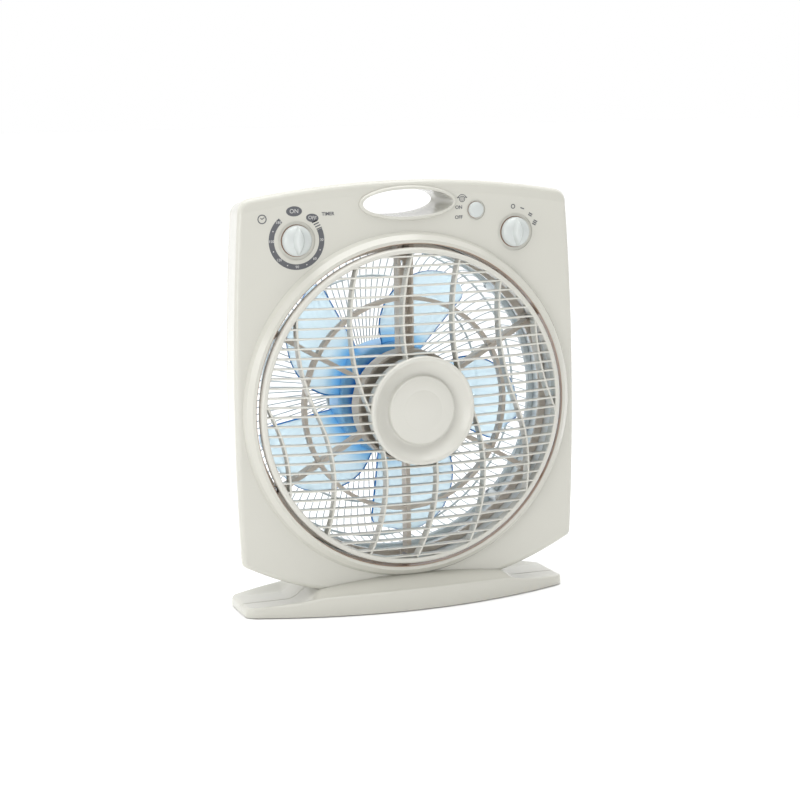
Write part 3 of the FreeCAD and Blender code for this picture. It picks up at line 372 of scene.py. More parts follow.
def moulded(name, colour, roughness, grain=0.012, coat=0.0, form=None, inner=None):
    """Injection-moulded plastic: slow colour drift, uneven gloss and a very fine grain over faint waves.

    The form adds relief underneath. Inner holds a function that makes the colour of the parts near the
    fan's axis, and the two distances between which that colour gives way.
    """
    material, nodes, links, shader = new_material(name)
    slow = noise(nodes, links, DRIFT_SCALE, 3.0)
    darker = tuple(channel * (1 - DRIFT) for channel in colour[:3]) + (1.0,)
    tone = blended(nodes, links, slow, darker, colour)
    if inner:
        near_colour, near, far = inner
        mix = nodes.new("ShaderNodeMix")
        mix.data_type = "RGBA"
        links.new(radial_share(nodes, links, near, far), mix.inputs["Factor"])
        links.new(near_colour(nodes, links), mix.inputs["A"])
        links.new(tone, mix.inputs["B"])
        tone = mix.outputs["Result"]
    links.new(tone, shader.inputs["Base Color"])
    cloudy = noise(nodes, links, GLOSS_SCALE)
    gloss = spread(nodes, links, cloudy, roughness - GLOSS_SWING, roughness + GLOSS_SWING)
    links.new(gloss, shader.inputs["Roughness"])
    under = form(nodes, links) if form else None
    swell = noise(nodes, links, WAVE_SCALE, 0.0)
    waves = bumped(nodes, links, swell, WAVE_STRENGTH, WAVE_HEIGHT, under)
    fine = noise(nodes, links, GRAIN_SCALE)
    links.new(bumped(nodes, links, fine, grain, GRAIN_HEIGHT, waves), shader.inputs["Normal"])
    shader.inputs["Coat Weight"].default_value = coat
    shader.inputs["Coat Roughness"].default_value = COAT_ROUGHNESS
    return material


def top_band(nodes, links):
    """The case's upper band leans back from a crease that follows its arched top."""
    place = nodes.new("ShaderNodeTexCoord")
    parts = nodes.new("ShaderNodeSeparateXYZ")
    links.new(place.outputs["Object"], parts.inputs[0])
    square = nodes.new("ShaderNodeMath")
    square.operation = "MULTIPLY"
    links.new(parts.outputs["X"], square.inputs[0])
    links.new(parts.outputs["X"], square.inputs[1])
    level = nodes.new("ShaderNodeMath")
    level.operation = "MULTIPLY_ADD"
    level.inputs[1].default_value = TOP_ARCH / MM
    links.new(square.outputs[0], level.inputs[0])
    links.new(parts.outputs["Z"], level.inputs[2])
    ramp = nodes.new("ShaderNodeMapRange")
    ramp.inputs["From Min"].default_value = (SHELL_HIGH.z - TOP_BAND) * MM
    ramp.inputs["From Max"].default_value = SHELL_HIGH.z * MM
    ramp.inputs["To Max"].default_value = -TOP_LEAN * MM
    links.new(level.outputs[0], ramp.inputs["Value"])
    return bumped(nodes, links, ramp.outputs["Result"], 1.0, 1.0)


def duct_painted_shade(nodes, links):
    """Colour of the air duct's wall, painted shade and light: brown painted shade just behind the louvre's
    ring, and a near-white further back that paints light onto the shaded wall.
    """
    place = nodes.new("ShaderNodeTexCoord")
    parts = nodes.new("ShaderNodeSeparateXYZ")
    links.new(place.outputs["Object"], parts.inputs[0])
    ranged = nodes.new("ShaderNodeMapRange")
    ranged.inputs["From Min"].default_value = (DUCT_SHADE_END - DUCT_SHADE_EDGE) * MM
    ranged.inputs["From Max"].default_value = (DUCT_SHADE_END + DUCT_SHADE_EDGE) * MM
    links.new(parts.outputs["Y"], ranged.inputs["Value"])
    # painted shade in brown towards the front, painted light in near-white further back
    return blended(nodes, links, ranged.outputs["Result"], linear(168, 138, 118), linear(250, 254, 255))


def hub_core(nodes, links):
    """Deep colour of the hub inside its clearer rim."""
    return blended(nodes, links, noise(nodes, links, GLOSS_SCALE), linear(16, 104, 206), linear(26, 118, 216))


def radial_share(nodes, links, near, far):
    """0 at one distance from the fan's axis and 1 at another, in millimetres."""
    place = nodes.new("ShaderNodeTexCoord")
    shift = nodes.new("ShaderNodeVectorMath")
    shift.operation = "SUBTRACT"
    shift.inputs[1].default_value = (0, 0, AXIS_Z * MM)
    flat = nodes.new("ShaderNodeVectorMath")
    flat.operation = "MULTIPLY"
    flat.inputs[1].default_value = (1, 0, 1)
    distance = nodes.new("ShaderNodeVectorMath")
    distance.operation = "LENGTH"
    ranged = nodes.new("ShaderNodeMapRange")
    ranged.interpolation_type = "SMOOTHSTEP"
    ranged.inputs["From Min"].default_value = near * MM
    ranged.inputs["From Max"].default_value = far * MM
    links.new(place.outputs["Object"], shift.inputs[0])
    links.new(shift.outputs[0], flat.inputs[0])
    links.new(flat.outputs[0], distance.inputs[0])
    links.new(distance.outputs["Value"], ranged.inputs["Value"])
    return ranged.outputs["Result"]


def clear_blue(name):
    """Milky see-through blades: blue and cloudy at the hub, pale and clearer further out."""
    material, nodes, links, shader = new_material(name)
    outwards = radial_share(nodes, links, *BLADE_TINT)
    tint = blended(nodes, links, outwards, linear(150, 208, 243), linear(234, 248, 254))
    links.new(tint, shader.inputs["Base Color"])
    shader.inputs["Transmission Weight"].default_value = 0.9
    shader.inputs["IOR"].default_value = 1.15
    cloudy = noise(nodes, links, 40.0, 3.0)
    links.new(spread(nodes, links, cloudy, 0.10, 0.16), shader.inputs["Roughness"])
    waves = bumped(nodes, links, noise(nodes, links, 20.0, 0.0), WAVE_STRENGTH, 0.0008)
    links.new(waves, shader.inputs["Normal"])
    milk = nodes.new("ShaderNodeBsdfTranslucent")
    links.new(tint, milk.inputs["Color"])
    milkiness = nodes.new("ShaderNodeMapRange")
    milkiness.inputs["To Min"].default_value = 0.75
    milkiness.inputs["To Max"].default_value = 0.55
    links.new(outwards, milkiness.inputs["Value"])
    mixed = nodes.new("ShaderNodeMixShader")
    links.new(milkiness.outputs["Result"], mixed.inputs[0])
    links.new(shader.outputs[0], mixed.inputs[1])
    links.new(milk.outputs[0], mixed.inputs[2])
    links.new(mixed.outputs[0], nodes["Material Output"].inputs["Surface"])
    return material


def metal(name, colour, roughness, scale=700.0, strength=0.15, metallic=1.0):
    """Plated or pressed metal with a cloudy finish and fine scratches."""
    material, nodes, links, shader = new_material(name)
    shader.inputs["Metallic"].default_value = metallic
    slow = noise(nodes, links, 120.0, 5.0, 0.6)
    darker = tuple(channel * 0.8 for channel in colour[:3]) + (1.0,)
    links.new(blended(nodes, links, spread(nodes, links, slow, 0.0, 1.0), darker, colour),
              shader.inputs["Base Color"])
    links.new(spread(nodes, links, slow, roughness - 0.08, roughness + 0.08), shader.inputs["Roughness"])
    scratches = bumped(nodes, links, noise(nodes, links, scale, 3.0), strength, GRAIN_HEIGHT)
    links.new(scratches, shader.inputs["Normal"])
    return material


def banded(name, colour, dark, roughness, bands, metallic, rings=False):
    """Laminations or windings: fine bands along the fan's axis, or rings about it."""
    material, nodes, links, shader = new_material(name)
    place = nodes.new("ShaderNodeTexCoord")
    wave = nodes.new("ShaderNodeTexWave")
    wave.wave_type = "RINGS" if rings else "BANDS"
    if rings:
        wave.rings_direction = "Y"
        shift = nodes.new("ShaderNodeVectorMath")
        shift.operation = "SUBTRACT"
        shift.inputs[1].default_value = (0, 0, AXIS_Z * MM)
        links.new(place.outputs["Object"], shift.inputs[0])
        links.new(shift.outputs[0], wave.inputs["Vector"])
    else:
        wave.bands_direction = "Y"
        links.new(place.outputs["Object"], wave.inputs["Vector"])
    wave.inputs["Scale"].default_value = bands
    wave.inputs["Distortion"].default_value = 0.4
    links.new(blended(nodes, links, wave.outputs["Fac"], dark, colour), shader.inputs["Base Color"])
    links.new(bumped(nodes, links, wave.outputs["Fac"], 0.4, 0.0003), shader.inputs["Normal"])
    shader.inputs["Metallic"].default_value = metallic
    shader.inputs["Roughness"].default_value = roughness
    return material


def make_materials():
    """Every material by its slot's name, and a few that only the looks need."""
    cream = linear(192, 191, 182)
    # inside the duct's radius both case materials get painted shade and painted light on the duct wall
    duct = (duct_painted_shade, DUCT - DUCT_EDGE, DUCT + DUCT_EDGE)
    return {
        "cream_plastic": moulded("cream_case", cream, 0.24, coat=0.4, inner=duct),
        "cream_front": moulded("cream_front", cream, 0.24, coat=0.4, form=top_band, inner=duct),
        "louvre_plastic": moulded("cream_louvre", linear(196, 195, 187), 0.3, coat=0.2),
        "spider_plastic": moulded("beige_spider", linear(210, 201, 190), 0.42),
        "guard_plastic": moulded("grey_guard", linear(214, 222, 224), 0.45),
        "blue_plastic": moulded("deep_blue_hub", linear(128, 190, 240), 0.30, coat=0.1,
                                inner=(hub_core, *HUB_CORE)),
        # painted shade: dark brown for the rings laid in the gaps round the knobs and button
        "painted_gap_shade": moulded("painted_gap_shade", linear(134, 108, 92), 0.6),
        "blade_plastic": clear_blue("clear_blue_blade"),
        "blade_edge": moulded("blade_edge_blue", linear(44, 126, 205), 0.30),
        "knob_plastic": moulded("off_white_knob", linear(190, 195, 193), 0.22, coat=0.3),
        "dark_plastic": moulded("black_plastic", linear(42, 42, 44), 0.5, grain=0.3),
        "rubber": moulded("grey_rubber", linear(60, 60, 60), 0.8, grain=0.5),
        "bright_steel": metal("zinc_steel", linear(205, 207, 210), 0.28),
        "pressed_steel": metal("painted_bracket", linear(128, 131, 134), 0.45, metallic=0.6),
        "core_steel": banded("laminated_core", linear(128, 130, 134), linear(70, 72, 76), 0.4, 320.0, 0.9),
        "copper_winding": banded("varnished_copper", linear(196, 112, 60), linear(110, 52, 22), 0.35, 260.0,
                                 0.8, rings=True),
        "bronze": metal("sintered_bronze", linear(190, 150, 92), 0.4, scale=2600.0, strength=0.5),
        "print_grey": moulded("print_grey", linear(88, 89, 93), 0.5, grain=0.05),
        "print_white": moulded("print_white", linear(196, 196, 193), 0.5, grain=0.05),
    }


def dress_frame(materials):
    """Give every CAD node the material of its slot."""
    for subpart in frame["record"]["subparts"]:
        item = NODES[subpart["node"]]
        chosen = "cream_front" if subpart["node"] == "front_shell" else subpart["material_slot"]
        for slot in item.material_slots:
            slot.material = materials[chosen]


# ---------------------------------------------------------------- louvre

def louvre_y(radius):
    """Front surface of the louvre's dome at a distance from the axis."""
    share = (radius ** 2 - HUB ** 2) / (RING_INNER ** 2 - HUB ** 2)
    return DOME_Y + (RING_Y - DOME_Y) * share


def on_dome(x, z, sunk=0.0):
    """A point on the louvre's dome, x and z from its axis, sunk a little way into it."""
    return Vector((x, louvre_y(math.hypot(x, z)) + sunk, AXIS_Z + z))


def add_slats(shape):
    """Level slats from the hub or the far side to the ring, following the dome."""
    section = bar_section(SLAT_HEIGHT, SLAT_DEPTH, SLAT_NOSE)
    up, inwards = Vector((0, 0, 1)), Vector((0, 1, 0))
    for number in range(-SLATS_EACH_SIDE, SLATS_EACH_SIDE + 1):
        z = number * SLAT_PITCH
        far = math.sqrt(SLATS_END ** 2 - z ** 2)
        spans = [(-far, far)]
        if abs(z) < SLATS_START:
            near = math.sqrt(SLATS_START ** 2 - z ** 2)
            spans = [(-far, -near), (near, far)]
        for start, end in spans:
            steps = max(8, int((end - start) / SLAT_STEP))
            places = [start + (end - start) * step / steps for step in range(steps + 1)]
            shape.swept([(on_dome(x, z), up, inwards) for x in places], section)


def rib_x(place, z):
    """Sideways place of an S-shaped rib at a height from the axis; the upper arc bows to -X."""
    half = RING_INNER / 2
    radius = (half ** 2 + RIB_SWAY ** 2) / (2 * RIB_SWAY)
    side = 1 if z >= 0 else -1
    offset = (radius - RIB_SWAY) - math.sqrt(radius ** 2 - (abs(z) - half) ** 2)
    return place + side * offset


def add_ribs(shape):
    """S-shaped ribs behind the slats' front edges, broken by the hub."""
    section = bar_section(RIB_WIDTH, RIB_DEPTH, RIB_NOSE)
    last = int(SLATS_END / RIB_STEP) + 1
    for place in RIB_PLACES:
        run = []
        for number in range(-last, last + 1):
            z = number * RIB_STEP
            x = rib_x(place, z)
            inside = SLATS_START < math.hypot(x, z) < SLATS_END
            if inside:
                slope = rib_x(place, z + 0.5) - rib_x(place, z - 0.5)
                side = Vector((1, 0, -slope)).normalized()
                run.append((on_dome(x, z, RIB_SUNK), side, Vector((0, 1, 0))))
            if not inside or number == last:
                if len(run) > 1:
                    shape.swept(run, section)
                run = []


def louvre(materials):
    """Domed grille: slats and ribs between a channel-shaped ring and a shallow cup for the cap."""
    shape = Shape()
    add_slats(shape)
    add_ribs(shape)
    ring = [
        (RING_INNER, RING_BACK), (RING_INNER, RING_Y + 0.4), (RING_INNER + 1.2, RING_Y - 0.3),
        (RING - 1.6, RING_Y + 0.2), (RING - 0.1, RING_Y + 2.6), (RING - 0.1, RING_BACK),
        (RING - 2, RING_BACK), (RING - 2, RING_Y + 4.2),
    ]
    shape.turned(rounded(ring, [0.4, 1.0, 1.2, 2.4, 1.6, 0.4, 0.4, 0.8]), steps=192)
    shape.turned(rounded([
        (0, HUB_Y + 10), (HUB - 3, HUB_Y + 10), (HUB - 3, HUB_Y + 4), (HUB - 0.6, HUB_Y + 4),
        (HUB - 0.6, HUB_Y + 15), (HUB - 3, HUB_Y + 15), (HUB - 3, HUB_Y + 12), (0, HUB_Y + 12),
    ], 0.4), steps=128)
    piece("louvre_form", shape, "louvre", [materials["louvre_plastic"]],
          replaces=["louvre_grille"])


def hub_cap(materials):
    """Cap with a rounded rim, a wide hollow channel and a slightly domed disc.

    Its profile's pairs are the radius and the depth behind the cap's frontmost plane.
    """
    shape = Shape()
    disc = [(0, 2.6), (20.0, 3.1), (20.5, 3.25), (21.0, 3.25), (21.5, 3.2), (33.2, 4.2), (34.4, 4.6),
            (35.0, 5.4)]
    channel = [(35.3, 8.6), (36.4, 9.2), (38.6, 9.1), (42.0, 8.0), (46.0, 5.6), (49.3, 2.4)]
    rim = [(50.6, 1.0), (51.8, 0.3), (53.0, 0.05), (54.3, 0.4), (55.1, 1.2), (55.45, 2.4), (55.45, 3.9)]
    collar = [(51.8, 3.9), (51.8, 8.0), (50.0, 8.0), (50.0, 5.2)]
    behind = [(44.0, 9.0), (38.0, 10.2), (34.0, 10.0), (33.0, 6.0), (0, 5.0)]
    profile = disc + channel + rim + collar + behind
    shape.turned([(radius, HUB_Y + y) for radius, y in profile], steps=160)
    piece("hub_cap_form", shape, "louvre", [materials["louvre_plastic"]],
          replaces=["hub_cap"], sharp_from=75)


# ---------------------------------------------------------------- impeller

def blade_edges(radius):
    """Angles of the rear and front edge from the middle of the blade's root, at a distance from the axis."""
    front = BLADE_FRONT_ANGLE - BLADE_SWEEP * (max(0.0, radius - SWEEP_START) / SWEEP_SPAN) ** 1.7
    corner = max(0.0, (radius - (BLADE_RADIUS - BLADE_CORNER)) / BLADE_CORNER)
    closing = 1 - math.sqrt(max(0.0, 1 - corner ** 2))
    rear_corner, front_corner = BLADE_CORNER_ANGLES
    return BLADE_REAR_ANGLE + rear_corner * closing, front - front_corner * closing


def add_blade(shape, middle):
    """One twisted petal with thin rounded edges, its middle at an angle from +X."""
    front_y = IMPELLER_LOW.y + BLADE_INSET
    back_y = IMPELLER_HIGH.y - BLADE_INSET
    shares = [0, 0.006, 0.02, 0.05] + [0.1 * step for step in range(1, 10)] + [0.95, 0.98, 0.994, 1]
    span = BLADE_RADIUS - BLADE_ROOT
    radii = [BLADE_ROOT + span * math.sin(math.pi / 2 * step / 30) for step in range(31)]
    rows = []
    for radius in radii:
        rear, front = blade_edges(radius)
        reach = math.radians(front - rear) * radius
        normal = Vector((back_y - front_y, reach)).normalized()
        near, far = [], []
        for share in shares:
            half = BLADE_HALF_THICKNESS * math.sqrt(max(0.0, 1 - (2 * share - 1) ** 10))
            camber = BLADE_CAMBER * share * (1 - share)
            y = back_y + (front_y - back_y) * share - camber
            angle = math.radians(middle + rear + (front - rear) * share)
            for side, line in ((-1, near), (1, far)):
                turn = angle + side * half * normal.x / radius
                depth = y + side * half * normal.y
                line.append(Vector((radius * math.cos(turn), depth, AXIS_Z + radius * math.sin(turn))))
        rows.append(near + far[::-1])
    count = len(shares)
    round_rear = {0, 1, 2 * count - 3, 2 * count - 2, 2 * count - 1}
    round_front = {count - 3, count - 2, count - 1, count, count + 1}
    edge_marks = [int(column in round_rear | round_front) for column in range(2 * count)]
    shape.skin(rows, mark=1, edge_marks=edge_marks)


def impeller(materials):
    """Five blades on a cup-shaped hub with a boss for the shaft."""
    blades = Shape()
    for number in range(BLADES):
        add_blade(blades, BLADE_TURN + number * 360 / BLADES)
    piece("impeller_blades", blades, "impeller",
          [materials["blade_plastic"], materials["blade_edge"]], sharp_from=70)
    hub = Shape()
    front, back = IMPELLER_LOW.y, IMPELLER_HIGH.y
    hub.turned(rounded([
        (0, front), (IMPELLER_HUB - 2, front), (IMPELLER_HUB, front + 4), (IMPELLER_HUB, back),
        (IMPELLER_HUB - HUB_WALL, back), (IMPELLER_HUB - HUB_WALL, front + 5),
        (IMPELLER_HUB - 5, front + HUB_WALL), (9, front + HUB_WALL), (9, front + 17), (0, front + 17),
    ], [0, 2, 3, 0.5, 0.5, 1, 1, 1, 0.5, 0]))
    piece("impeller_hub", hub, "impeller", [materials["blue_plastic"]], replaces=["impeller"])


# ---------------------------------------------------------------- rear guard

def basket(share, sunk):
    """Radius and depth on the basket at a share of its full radius, sunk towards the impeller."""
    start, end = GUARD_LOW.y + BASKET_OFFSET, GUARD_HIGH.y
    rise = max(0.0, 1 - share ** BASKET_ROUND) ** (1 / BASKET_FLAT)
    slope = Vector((BASKET_ROUND * share ** (BASKET_ROUND - 1) / GUARD_BASKET,
                    BASKET_FLAT * rise ** (BASKET_FLAT - 1) / (end - start))).normalized()
    return share * GUARD_BASKET - slope.x * sunk, start + rise * (end - start) - slope.y * sunk


def guard(materials):
    """Basket of thin wires behind the impeller, with two hoops, a rim and the motor's plate."""
    shape = Shape()
    half = GUARD_BAR / 2
    wire = rounded([(-half, -half), (half, -half), (half, half), (-half, half)], GUARD_BAR * 0.4, 2)
    shares = [1 - (1 - GUARD_BAR_START) * (1 - math.cos(math.pi / 2 * step / GUARD_BAR_STEPS))
              for step in range(GUARD_BAR_STEPS + 1)]
    path = [basket(share, GUARD_BAR) for share in shares]
    for number in range(GUARD_BARS):
        angle = 2 * math.pi * (number + 0.5) / GUARD_BARS
        outwards = Vector((math.cos(angle), 0, math.sin(angle)))
        sideways = Vector((-math.sin(angle), 0, math.cos(angle)))
        stations = []
        for step, (radius, y) in enumerate(path):
            before, after = path[max(0, step - 1)], path[min(len(path) - 1, step + 1)]
            along = Vector((after[0] - before[0], after[1] - before[1])).normalized()
            centre = outwards * radius + Vector((0, y, AXIS_Z))
            stations.append((centre, sideways, outwards * along.y - Vector((0, along.x, 0))))
        shape.swept(stations, wire)
    for share in GUARD_HOOPS:
        radius, y = basket(share, GUARD_BAR * 1.6)
        angles = [step * math.pi / 5 for step in range(10)]
        hoop = [(radius + GUARD_HOOP_WIRE * math.cos(angle), y + GUARD_HOOP_WIRE * math.sin(angle))
                for angle in angles]
        shape.turned(hoop, steps=160)
    low, high = GUARD_LOW.y, GUARD_HIGH.y
    rim = [(GUARD_RIM_INNER, low), (GUARD_HIGH.x, low), (GUARD_HIGH.x, low + GUARD_RIM_DEPTH),
           (GUARD_RIM_INNER, low + GUARD_RIM_DEPTH)]
    shape.turned(rounded(rim, 0.8), steps=192)
    plate = [(0, high - 6), (GUARD_PLATE, high - 6), (GUARD_PLATE, high - 1), (GUARD_PLATE - 1, high),
             (GUARD_PLATE - 4, high), (GUARD_PLATE - 5, high - 1.4), (38, high - 1.4), (37, high - 0.6),
             (23, high - 0.6), (22, high - 1.4), (12, high - 1.4), (11, high), (0, high)]
    shape.turned(plate)
    for number in range(4):
        angle = math.pi / 4 + number * math.pi / 2
        centre = (GUARD_SCREWS * math.cos(angle), AXIS_Z + GUARD_SCREWS * math.sin(angle))
        shape.turned([(4.0, high - 1.0), (5.6, high - 1.0), (5.6, high - 0.2), (5.2, high), (4.2, high),
                      (4.0, high - 0.2)], centre[0], centre[1], steps=32)
    piece("guard_form", shape, "case", [materials["guard_plastic"]], replaces=["rear_guard"])


# ---------------------------------------------------------------- base

def smooth(share):
    """Ease from 0 to 1 with no kink at either end."""
    share = min(1.0, max(0.0, share))
    return share * share * (3 - 2 * share)


def base_row(x, side):
    """Section of one half of the base at x: pairs of distance from the seam and height."""
    away = abs(x)
    end = away / BASE_HALF_LENGTH
    corner = max(0.0, away - (BASE_HALF_LENGTH - BASE_CORNER))
    outer = BASE_END_DEPTH[side] + (BASE_HALF_DEPTH - BASE_END_DEPTH[side]) * (1 - end ** 2)
    outer -= BASE_CORNER - math.sqrt(max(0.0, BASE_CORNER ** 2 - corner ** 2))
    lip = WING_TOP - 0.5 + (LIP_TOP - WING_TOP) * (1 - end ** 2.6)
    crest = CREST_TOP - CREST_FALL * (x / CREST_HALF) ** 2
    crest += (WING_TOP - crest) * smooth((away - WING_START) / WING_BLEND)
    reach = min(CASE_REACH[side], 0.7 * outer)
    case_bottom = CASE_BOTTOM + CASE_BOTTOM_SLOPE * max(0.0, away - CASE_FLAT_HALF)
    past_end = max(0.0, away - (BASE_HALF_LENGTH - BASE_END_ROUND))
    fall = BASE_END_ROUND - math.sqrt(max(0.0, BASE_END_ROUND ** 2 - past_end ** 2))

    def top(distance):
        share = smooth((outer - distance) / (outer - reach)) ** 0.8
        height = lip + (crest - lip) * share
        if distance < reach:
            height = min(height, case_bottom)
        return max(3.0, height - fall)

    shoulder = outer - BASE_EDGE
    flat = [reach * share for share in (0.03, 0.25, 0.5, 0.75, 0.9, 0.995)]
    slope = [reach + (shoulder - reach) * step / 10 for step in range(1, 11)]
    row = [(0.1, BASE_UNDERSIDE), (0.1, top(0) - 0.7), (0.8, top(0))]
    row += [(distance, top(distance)) for distance in flat + [reach + 0.01] + slope]
    for step in range(1, 7):
        turn = math.pi / 2 * step / 6
        row.append((shoulder + BASE_EDGE * math.sin(turn), top(shoulder) - BASE_EDGE * (1 - math.cos(turn))))
    row += [(outer, BASE_UNDERSIDE + 1.2), (outer - 0.8, BASE_UNDERSIDE)]
    return row


def base(side, node, materials):
    """One half of the bow-shaped base, its upper face sweeping from the flat wings up to the case."""
    shape = Shape()
    seam = SHELL_HIGH.y
    ends = [BASE_HALF_LENGTH - offset for offset in (0, 0.1, 0.4, 1.0, 2.0, 3.2, 5.0, 8.0)]
    places = [-place for place in ends] + [BASE_STEP * step for step in range(-41, 42)] + ends[::-1]
    rows = []
    for x in places:
        rows.append([Vector((x, seam + side * distance, height)) for distance, height in base_row(x, side)])
    shape.skin(rows)
    piece(node + "_form", shape, "case", [materials["cream_plastic"]], replaces=[node])


# ---------------------------------------------------------------- dials

def frame_body(node):
    """Name of the CAD body that a node rides on."""
    bodies = frame["record"]["behaviour"]["bodies"]
    return next(body for body, members in bodies.items() if node in members)


def face_centre(node):
    """Middle of a knob or button as seen from the front: x and z."""
    low, high = corners(node)
    return (low.x + high.x) / 2, (low.z + high.z) / 2


def gap_ring(name, centre, inner, outer, depth, steps, materials):
    """Thin dark ring of painted shade on the bottom of the gap round a knob or button."""
    shape = Shape()
    top, bottom = FACE_Y + depth, FACE_Y + depth + GAP_THICKNESS
    shape.turned([(inner, top), (outer, top), (outer, bottom), (inner, bottom)], *centre, steps=steps)
    piece(name, shape, "case", [materials["painted_gap_shade"]])


def dial_face(radius, front):
    """Surface of the knob's dome at a distance from its centre."""
    share = min(1.0, radius / DIAL_RADIUS)
    return front + DIAL_CROWN + DIAL_DOME * (1 - math.sqrt(max(0.0, 1 - share ** 2.6)))


def add_grip(shape, centre, front, back):
    """Leaf-shaped grip across a knob's dome, pointed at both ends."""
    half_length = DIAL_RADIUS - 0.8
    across = [step / 8 for step in range(-8, 9)]
    rows = []
    for step in range(-20, 21):
        along = math.sin(math.pi / 2 * step / 20)
        width = GRIP_HALF_WIDTH * (1 - abs(along) ** 1.9) + 0.02
        rise = GRIP_RISE * (1 - along ** 6) + 0.02
        row = []
        for share in across:
            aside, up = share * width, along * half_length
            crest = rise * (1 - abs(share) ** 2.2) + 0.25 * (1 - abs(share))
            y = max(front, dial_face(math.hypot(aside, up), front) - crest)
            row.append(Vector((centre[0] + aside, y, centre[1] + up)))
        below = [Vector((point.x, back - 1, point.z)) for point in (row[-1], row[0])]
        rows.append(row + below)
    shape.skin(rows)


def dial(node, materials):
    """Domed knob with its grip, and a dark ring of painted shade in the gap round it."""
    low, high = corners(node)
    centre, front, back = face_centre(node), low.y, high.y
    shape = Shape()
    radii = [DIAL_RADIUS * math.sin(math.pi / 2 * step / 18) for step in range(19)]
    profile = [(radius, dial_face(radius, front)) for radius in radii]
    shape.turned(profile + [(DIAL_RADIUS, back), (0, back)], *centre, steps=96)
    add_grip(shape, centre, front, back)
    piece(node + "_form", shape, frame_body(node), [materials["knob_plastic"]],
          replaces=[node], sharp_from=35)
    gap_ring(node + "_gap", centre, DIAL_RADIUS - 1, DIAL_RADIUS + DIAL_GAP, DIAL_GAP_DEPTH, 96, materials)


# ---------------------------------------------------------------- print on the face

def clock(centre, radius, angle):
    """A point at a clockwise angle from straight up about a centre."""
    turn = math.radians(angle)
    return centre[0] + radius * math.sin(turn), centre[1] + radius * math.cos(turn)


def tilted(centre, across, up, tilt):
    """A point offset from a centre, the offset turned anticlockwise by the tilt in degrees."""
    turn = math.radians(tilt)
    return (centre[0] + across * math.cos(turn) - up * math.sin(turn),
            centre[1] + across * math.sin(turn) + up * math.cos(turn))


def arc_band(shape, centre, inner, outer, start=0, end=360, mark=0):
    """A flat band between two radii and two clockwise angles."""
    steps = max(2, int((end - start) / 4))
    for step in range(steps):
        first = start + (end - start) * step / steps
        second = start + (end - start) * (step + 1) / steps
        shape.slab([clock(centre, inner, first), clock(centre, outer, first), clock(centre, outer, second),
                    clock(centre, inner, second)], mark)


def oval(shape, centre, half_width, half_height, tilt=0.0, mark=0, y=FACE_Y, steps=40):
    """A flat printed oval, or a dot."""
    angles = [2 * math.pi * step / steps for step in range(steps)]
    shape.slab([tilted(centre, half_width * math.cos(angle), half_height * math.sin(angle), tilt)
                for angle in angles], mark, y)


def bar(shape, centre, half_width, half_height, tilt=0.0):
    """A flat printed stroke."""
    offsets = ((-half_width, -half_height), (half_width, -half_height), (half_width, half_height),
               (-half_width, half_height))
    shape.slab([tilted(centre, across, up, tilt) for across, up in offsets])


def lettering(shape, words, centre, height, tilt=0.0, mark=0, y=FACE_Y, weight=0.045):
    """Plain generic words or numbers, laid flat on the face."""
    curve = bpy.data.curves.new("lettering", "FONT")
    curve.body = words
    curve.size = height * 1.4
    curve.align_x = "CENTER"
    curve.align_y = "CENTER"
    curve.extrude = 0.5
    curve.offset = height * weight
    curve.resolution_u = 3
    holder = bpy.data.objects.new("lettering", curve)
    mesh = bpy.data.meshes.new_from_object(holder)
    first = len(shape.points)
    for vertex in mesh.vertices:
        across, up, out = vertex.co
        x, z = tilted(centre, across, up, tilt)
        shape.points.append(Vector((x, y + PRINT_SINK - (PRINT_THICKNESS + PRINT_SINK) * (out + 0.5), z)))
    for polygon in mesh.polygons:
        shape.face([first + number for number in polygon.vertices], mark)
    bpy.data.objects.remove(holder)
    bpy.data.curves.remove(curve)
    bpy.data.meshes.remove(mesh)


def timer_print(shape, centre, raised):
    """Minute scale round the timer dial, with its ON and OFF marks and a small clock."""
    grey, white = 0, 1
    inner, outer = TIMER_RING
    middle = (inner + outer) / 2
    arc_band(shape, centre, inner, outer, *TIMER_RING_ENDS, grey)
    for number in range(6):
        angle = 90 + 45 * number
        minutes = str(30 * (number + 1))
        lettering(shape, minutes, clock(centre, middle, angle), 2.7, 0, white, raised, weight=0.0)
        if number < 5:
            oval(shape, clock(centre, middle, angle + 22.5), 0.6, 0.6, 0, white, raised, 12)
    for number in range(4):
        bar(shape, clock(centre, middle + 0.2, 46 + 6.0 * number), 2.9, 0.6, 22)
    off, on = tilted(centre, 16.7, 21.9, 0), tilted(centre, -2.0, 29.0, 0)
    oval(shape, off, 6.5, 4.2, -8, grey)
    lettering(shape, "OFF", off, 3.5, -8, white, raised, weight=0.0)
    oval(shape, on, 8.2, 5.0, 0, grey)
    lettering(shape, "ON", on, 4.2, 0, white, raised, weight=0.0)
    lettering(shape, "TIMER", tilted(centre, 33.1, 25.3, 0), 3.4)
    small_clock = tilted(centre, -34.9, 22.3, 0)
    arc_band(shape, small_clock, 3.6, 4.7)
    bar(shape, tilted(small_clock, 1.1, 0.8, 0), 1.7, 0.45, 35)
    bar(shape, tilted(small_clock, -0.8, 0.6, 0), 1.2, 0.45, -38)


def speed_print(shape, centre):
    """Off mark and one, two and three bars round the speed dial."""
    spacing = 1.9
    arc_band(shape, tilted(centre, -2.0, 26.1, 0), 1.5, 2.5)
    for count, offset, tilt in ((1, (8.3, 23.8), -20), (2, (17.3, 17.1), -28), (3, (22.3, 8.7), -28)):
        mark = tilted(centre, *offset, 0)
        for number in range(count):
            shift = (number - (count - 1) / 2) * spacing
            bar(shape, tilted(mark, 0, shift, tilt), 2.2, 0.62, tilt)


